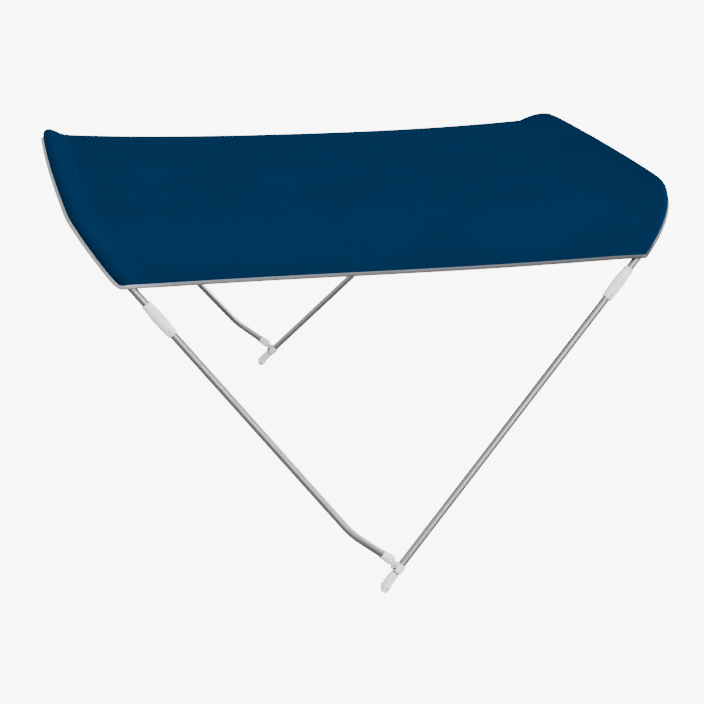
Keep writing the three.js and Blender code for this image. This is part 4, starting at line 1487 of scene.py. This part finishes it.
# %% Sew the pockets and the tape
ROW_SPACING = 8 * MM
TAPE_SEAM_IN, TAPE_SEAM_UP = 0.24, 0.43
seam_lines = []
for seam, inward_step in ((LEFT_SEAM, 1), (RIGHT_SEAM, -1)):
    toward = unit(grid[:, seam + inward_step] - grid[:, seam])
    for shift in (0, ROW_SPACING):
        for way in (1, -1):
            depth = CLOTH_THICKNESS / 2 + (0 if way == 1 else LAYER_GAP)
            line = grid[:, seam] + toward * shift + normals[:, seam] * way * depth
            seam_lines.append((line[1:-1], normals[1:-1, seam] * way))
tape_lines = []
for way in (1, -1):
    line = tape_centre - tape_wide * TAPE_WIDTH * TAPE_SEAM_IN
    line = line + tape_thick * way * TAPE_THICKNESS * TAPE_SEAM_UP
    tape_lines.append([np.concatenate([values, values[:1]]) for values in (line, tape_thick * way)])
pocket_stitches = sew("pocket_stitches", seam_lines, navy_thread, "canopy_cloth")
tape_stitches = sew("tape_stitches", tape_lines, grey_thread, "edge_binding")
print("stitch faces:", len(pocket_stitches.data.polygons), len(tape_stitches.data.polygons))

# %% Cloth and tape on the frame
on_frame(canopy, "canopy_cloth", "canopy_cloth")
on_frame(tape, "edge_binding",
         "binding_main_bow", "binding_second_bow", "binding_hem_right", "binding_hem_left")

# %% [markdown]
# ## Studio
# The floor is plain and pale. A white floor would also throw its light up under the canopy and
# wash out the tubes, so floor and sky are only moderately bright, and both glow for the
# camera's own rays alone. That keeps the background even and nearly white from every side.

# %% Floor and sky
FLOOR_Z, FLOOR_REACH = -0.0125, 60
FLOOR_GREY = (0.24, 0.24, 0.24)
GLOW = 8.0
SKY_LOW, SKY_HIGH = 2.2, 1.7
SKY_TOP = 0.9
WHITE = (1, 1, 1, 1)

corners = [(x * FLOOR_REACH, y * FLOOR_REACH, FLOOR_Z) for x, y in ((-1, -1), (1, -1), (1, 1), (-1, 1))]
floor_mesh = raw_mesh("floor", corners, faces=[(0, 1, 2, 3)])
floor = link(bpy.data.objects.new("floor", floor_mesh))
floor_finish = Finish("pale floor", FLOOR_GREY, 0.9, Specular_IOR_Level=0.0, Emission_Color=WHITE)
seen = floor_finish.node("LightPath")["Is Camera Ray"]
floor_finish.feed("Emission Strength", floor_finish.math("MULTIPLY", seen, GLOW))
floor_mesh.materials.append(floor_finish.material)

world = bpy.data.worlds.new("studio")
bpy.context.scene.world = world
world.use_nodes = True
sky = Tree(world.node_tree, "ShaderNode")
rise = sky.node("SeparateXYZ", {0: sky.node("TexCoord")["Generated"]})[2]
strength = sky.node("Mix", {"Factor": sky.node("LightPath")["Is Camera Ray"],
                            "A": sky.ramp(rise, 0.0, SKY_TOP, SKY_LOW, SKY_HIGH), "B": GLOW})["Result"]
background = world.node_tree.nodes["Background"].inputs
background["Color"].default_value = WHITE
world.node_tree.links.new(strength, background["Strength"])
print("floor at", FLOOR_Z, "sky from", SKY_LOW, "to", SKY_HIGH)

# %% [markdown]
# Three soft discs light the top. The key stands in front and shows the weave on the flap, the
# top light lifts the panel, and the side light gives the slanted legs a bright upper edge. They
# are large, so that round tubes show soft bands and not sharp glints.

# %% Lights
def soft_light(name, place, aim, size, power):
    data = adjust(bpy.data.lights.new(name, "AREA"), shape="DISK", size=size, energy=power)
    turn = (Vector(aim) - Vector(place)).to_track_quat("-Z", "Y").to_euler()
    light = link(bpy.data.objects.new(name, data))
    return adjust(light, location=place, rotation_euler=turn, visible_camera=False)


lights = [soft_light("key", place=(1.2, -6.8, 3.3), aim=(0, 0, 0.8), size=3.0, power=430),
          soft_light("top", place=(0.0, 1.0, 7.0), aim=(0, 0, 0.8), size=5.0, power=150),
          soft_light("side", place=(6.0, 0.4, 1.2), aim=(0, 0, 0.3), size=2.4, power=700)]
print("lights:", [light.name for light in lights])

# %% [markdown]
# Cloth and fittings were drawn on the same sizes as the solids.
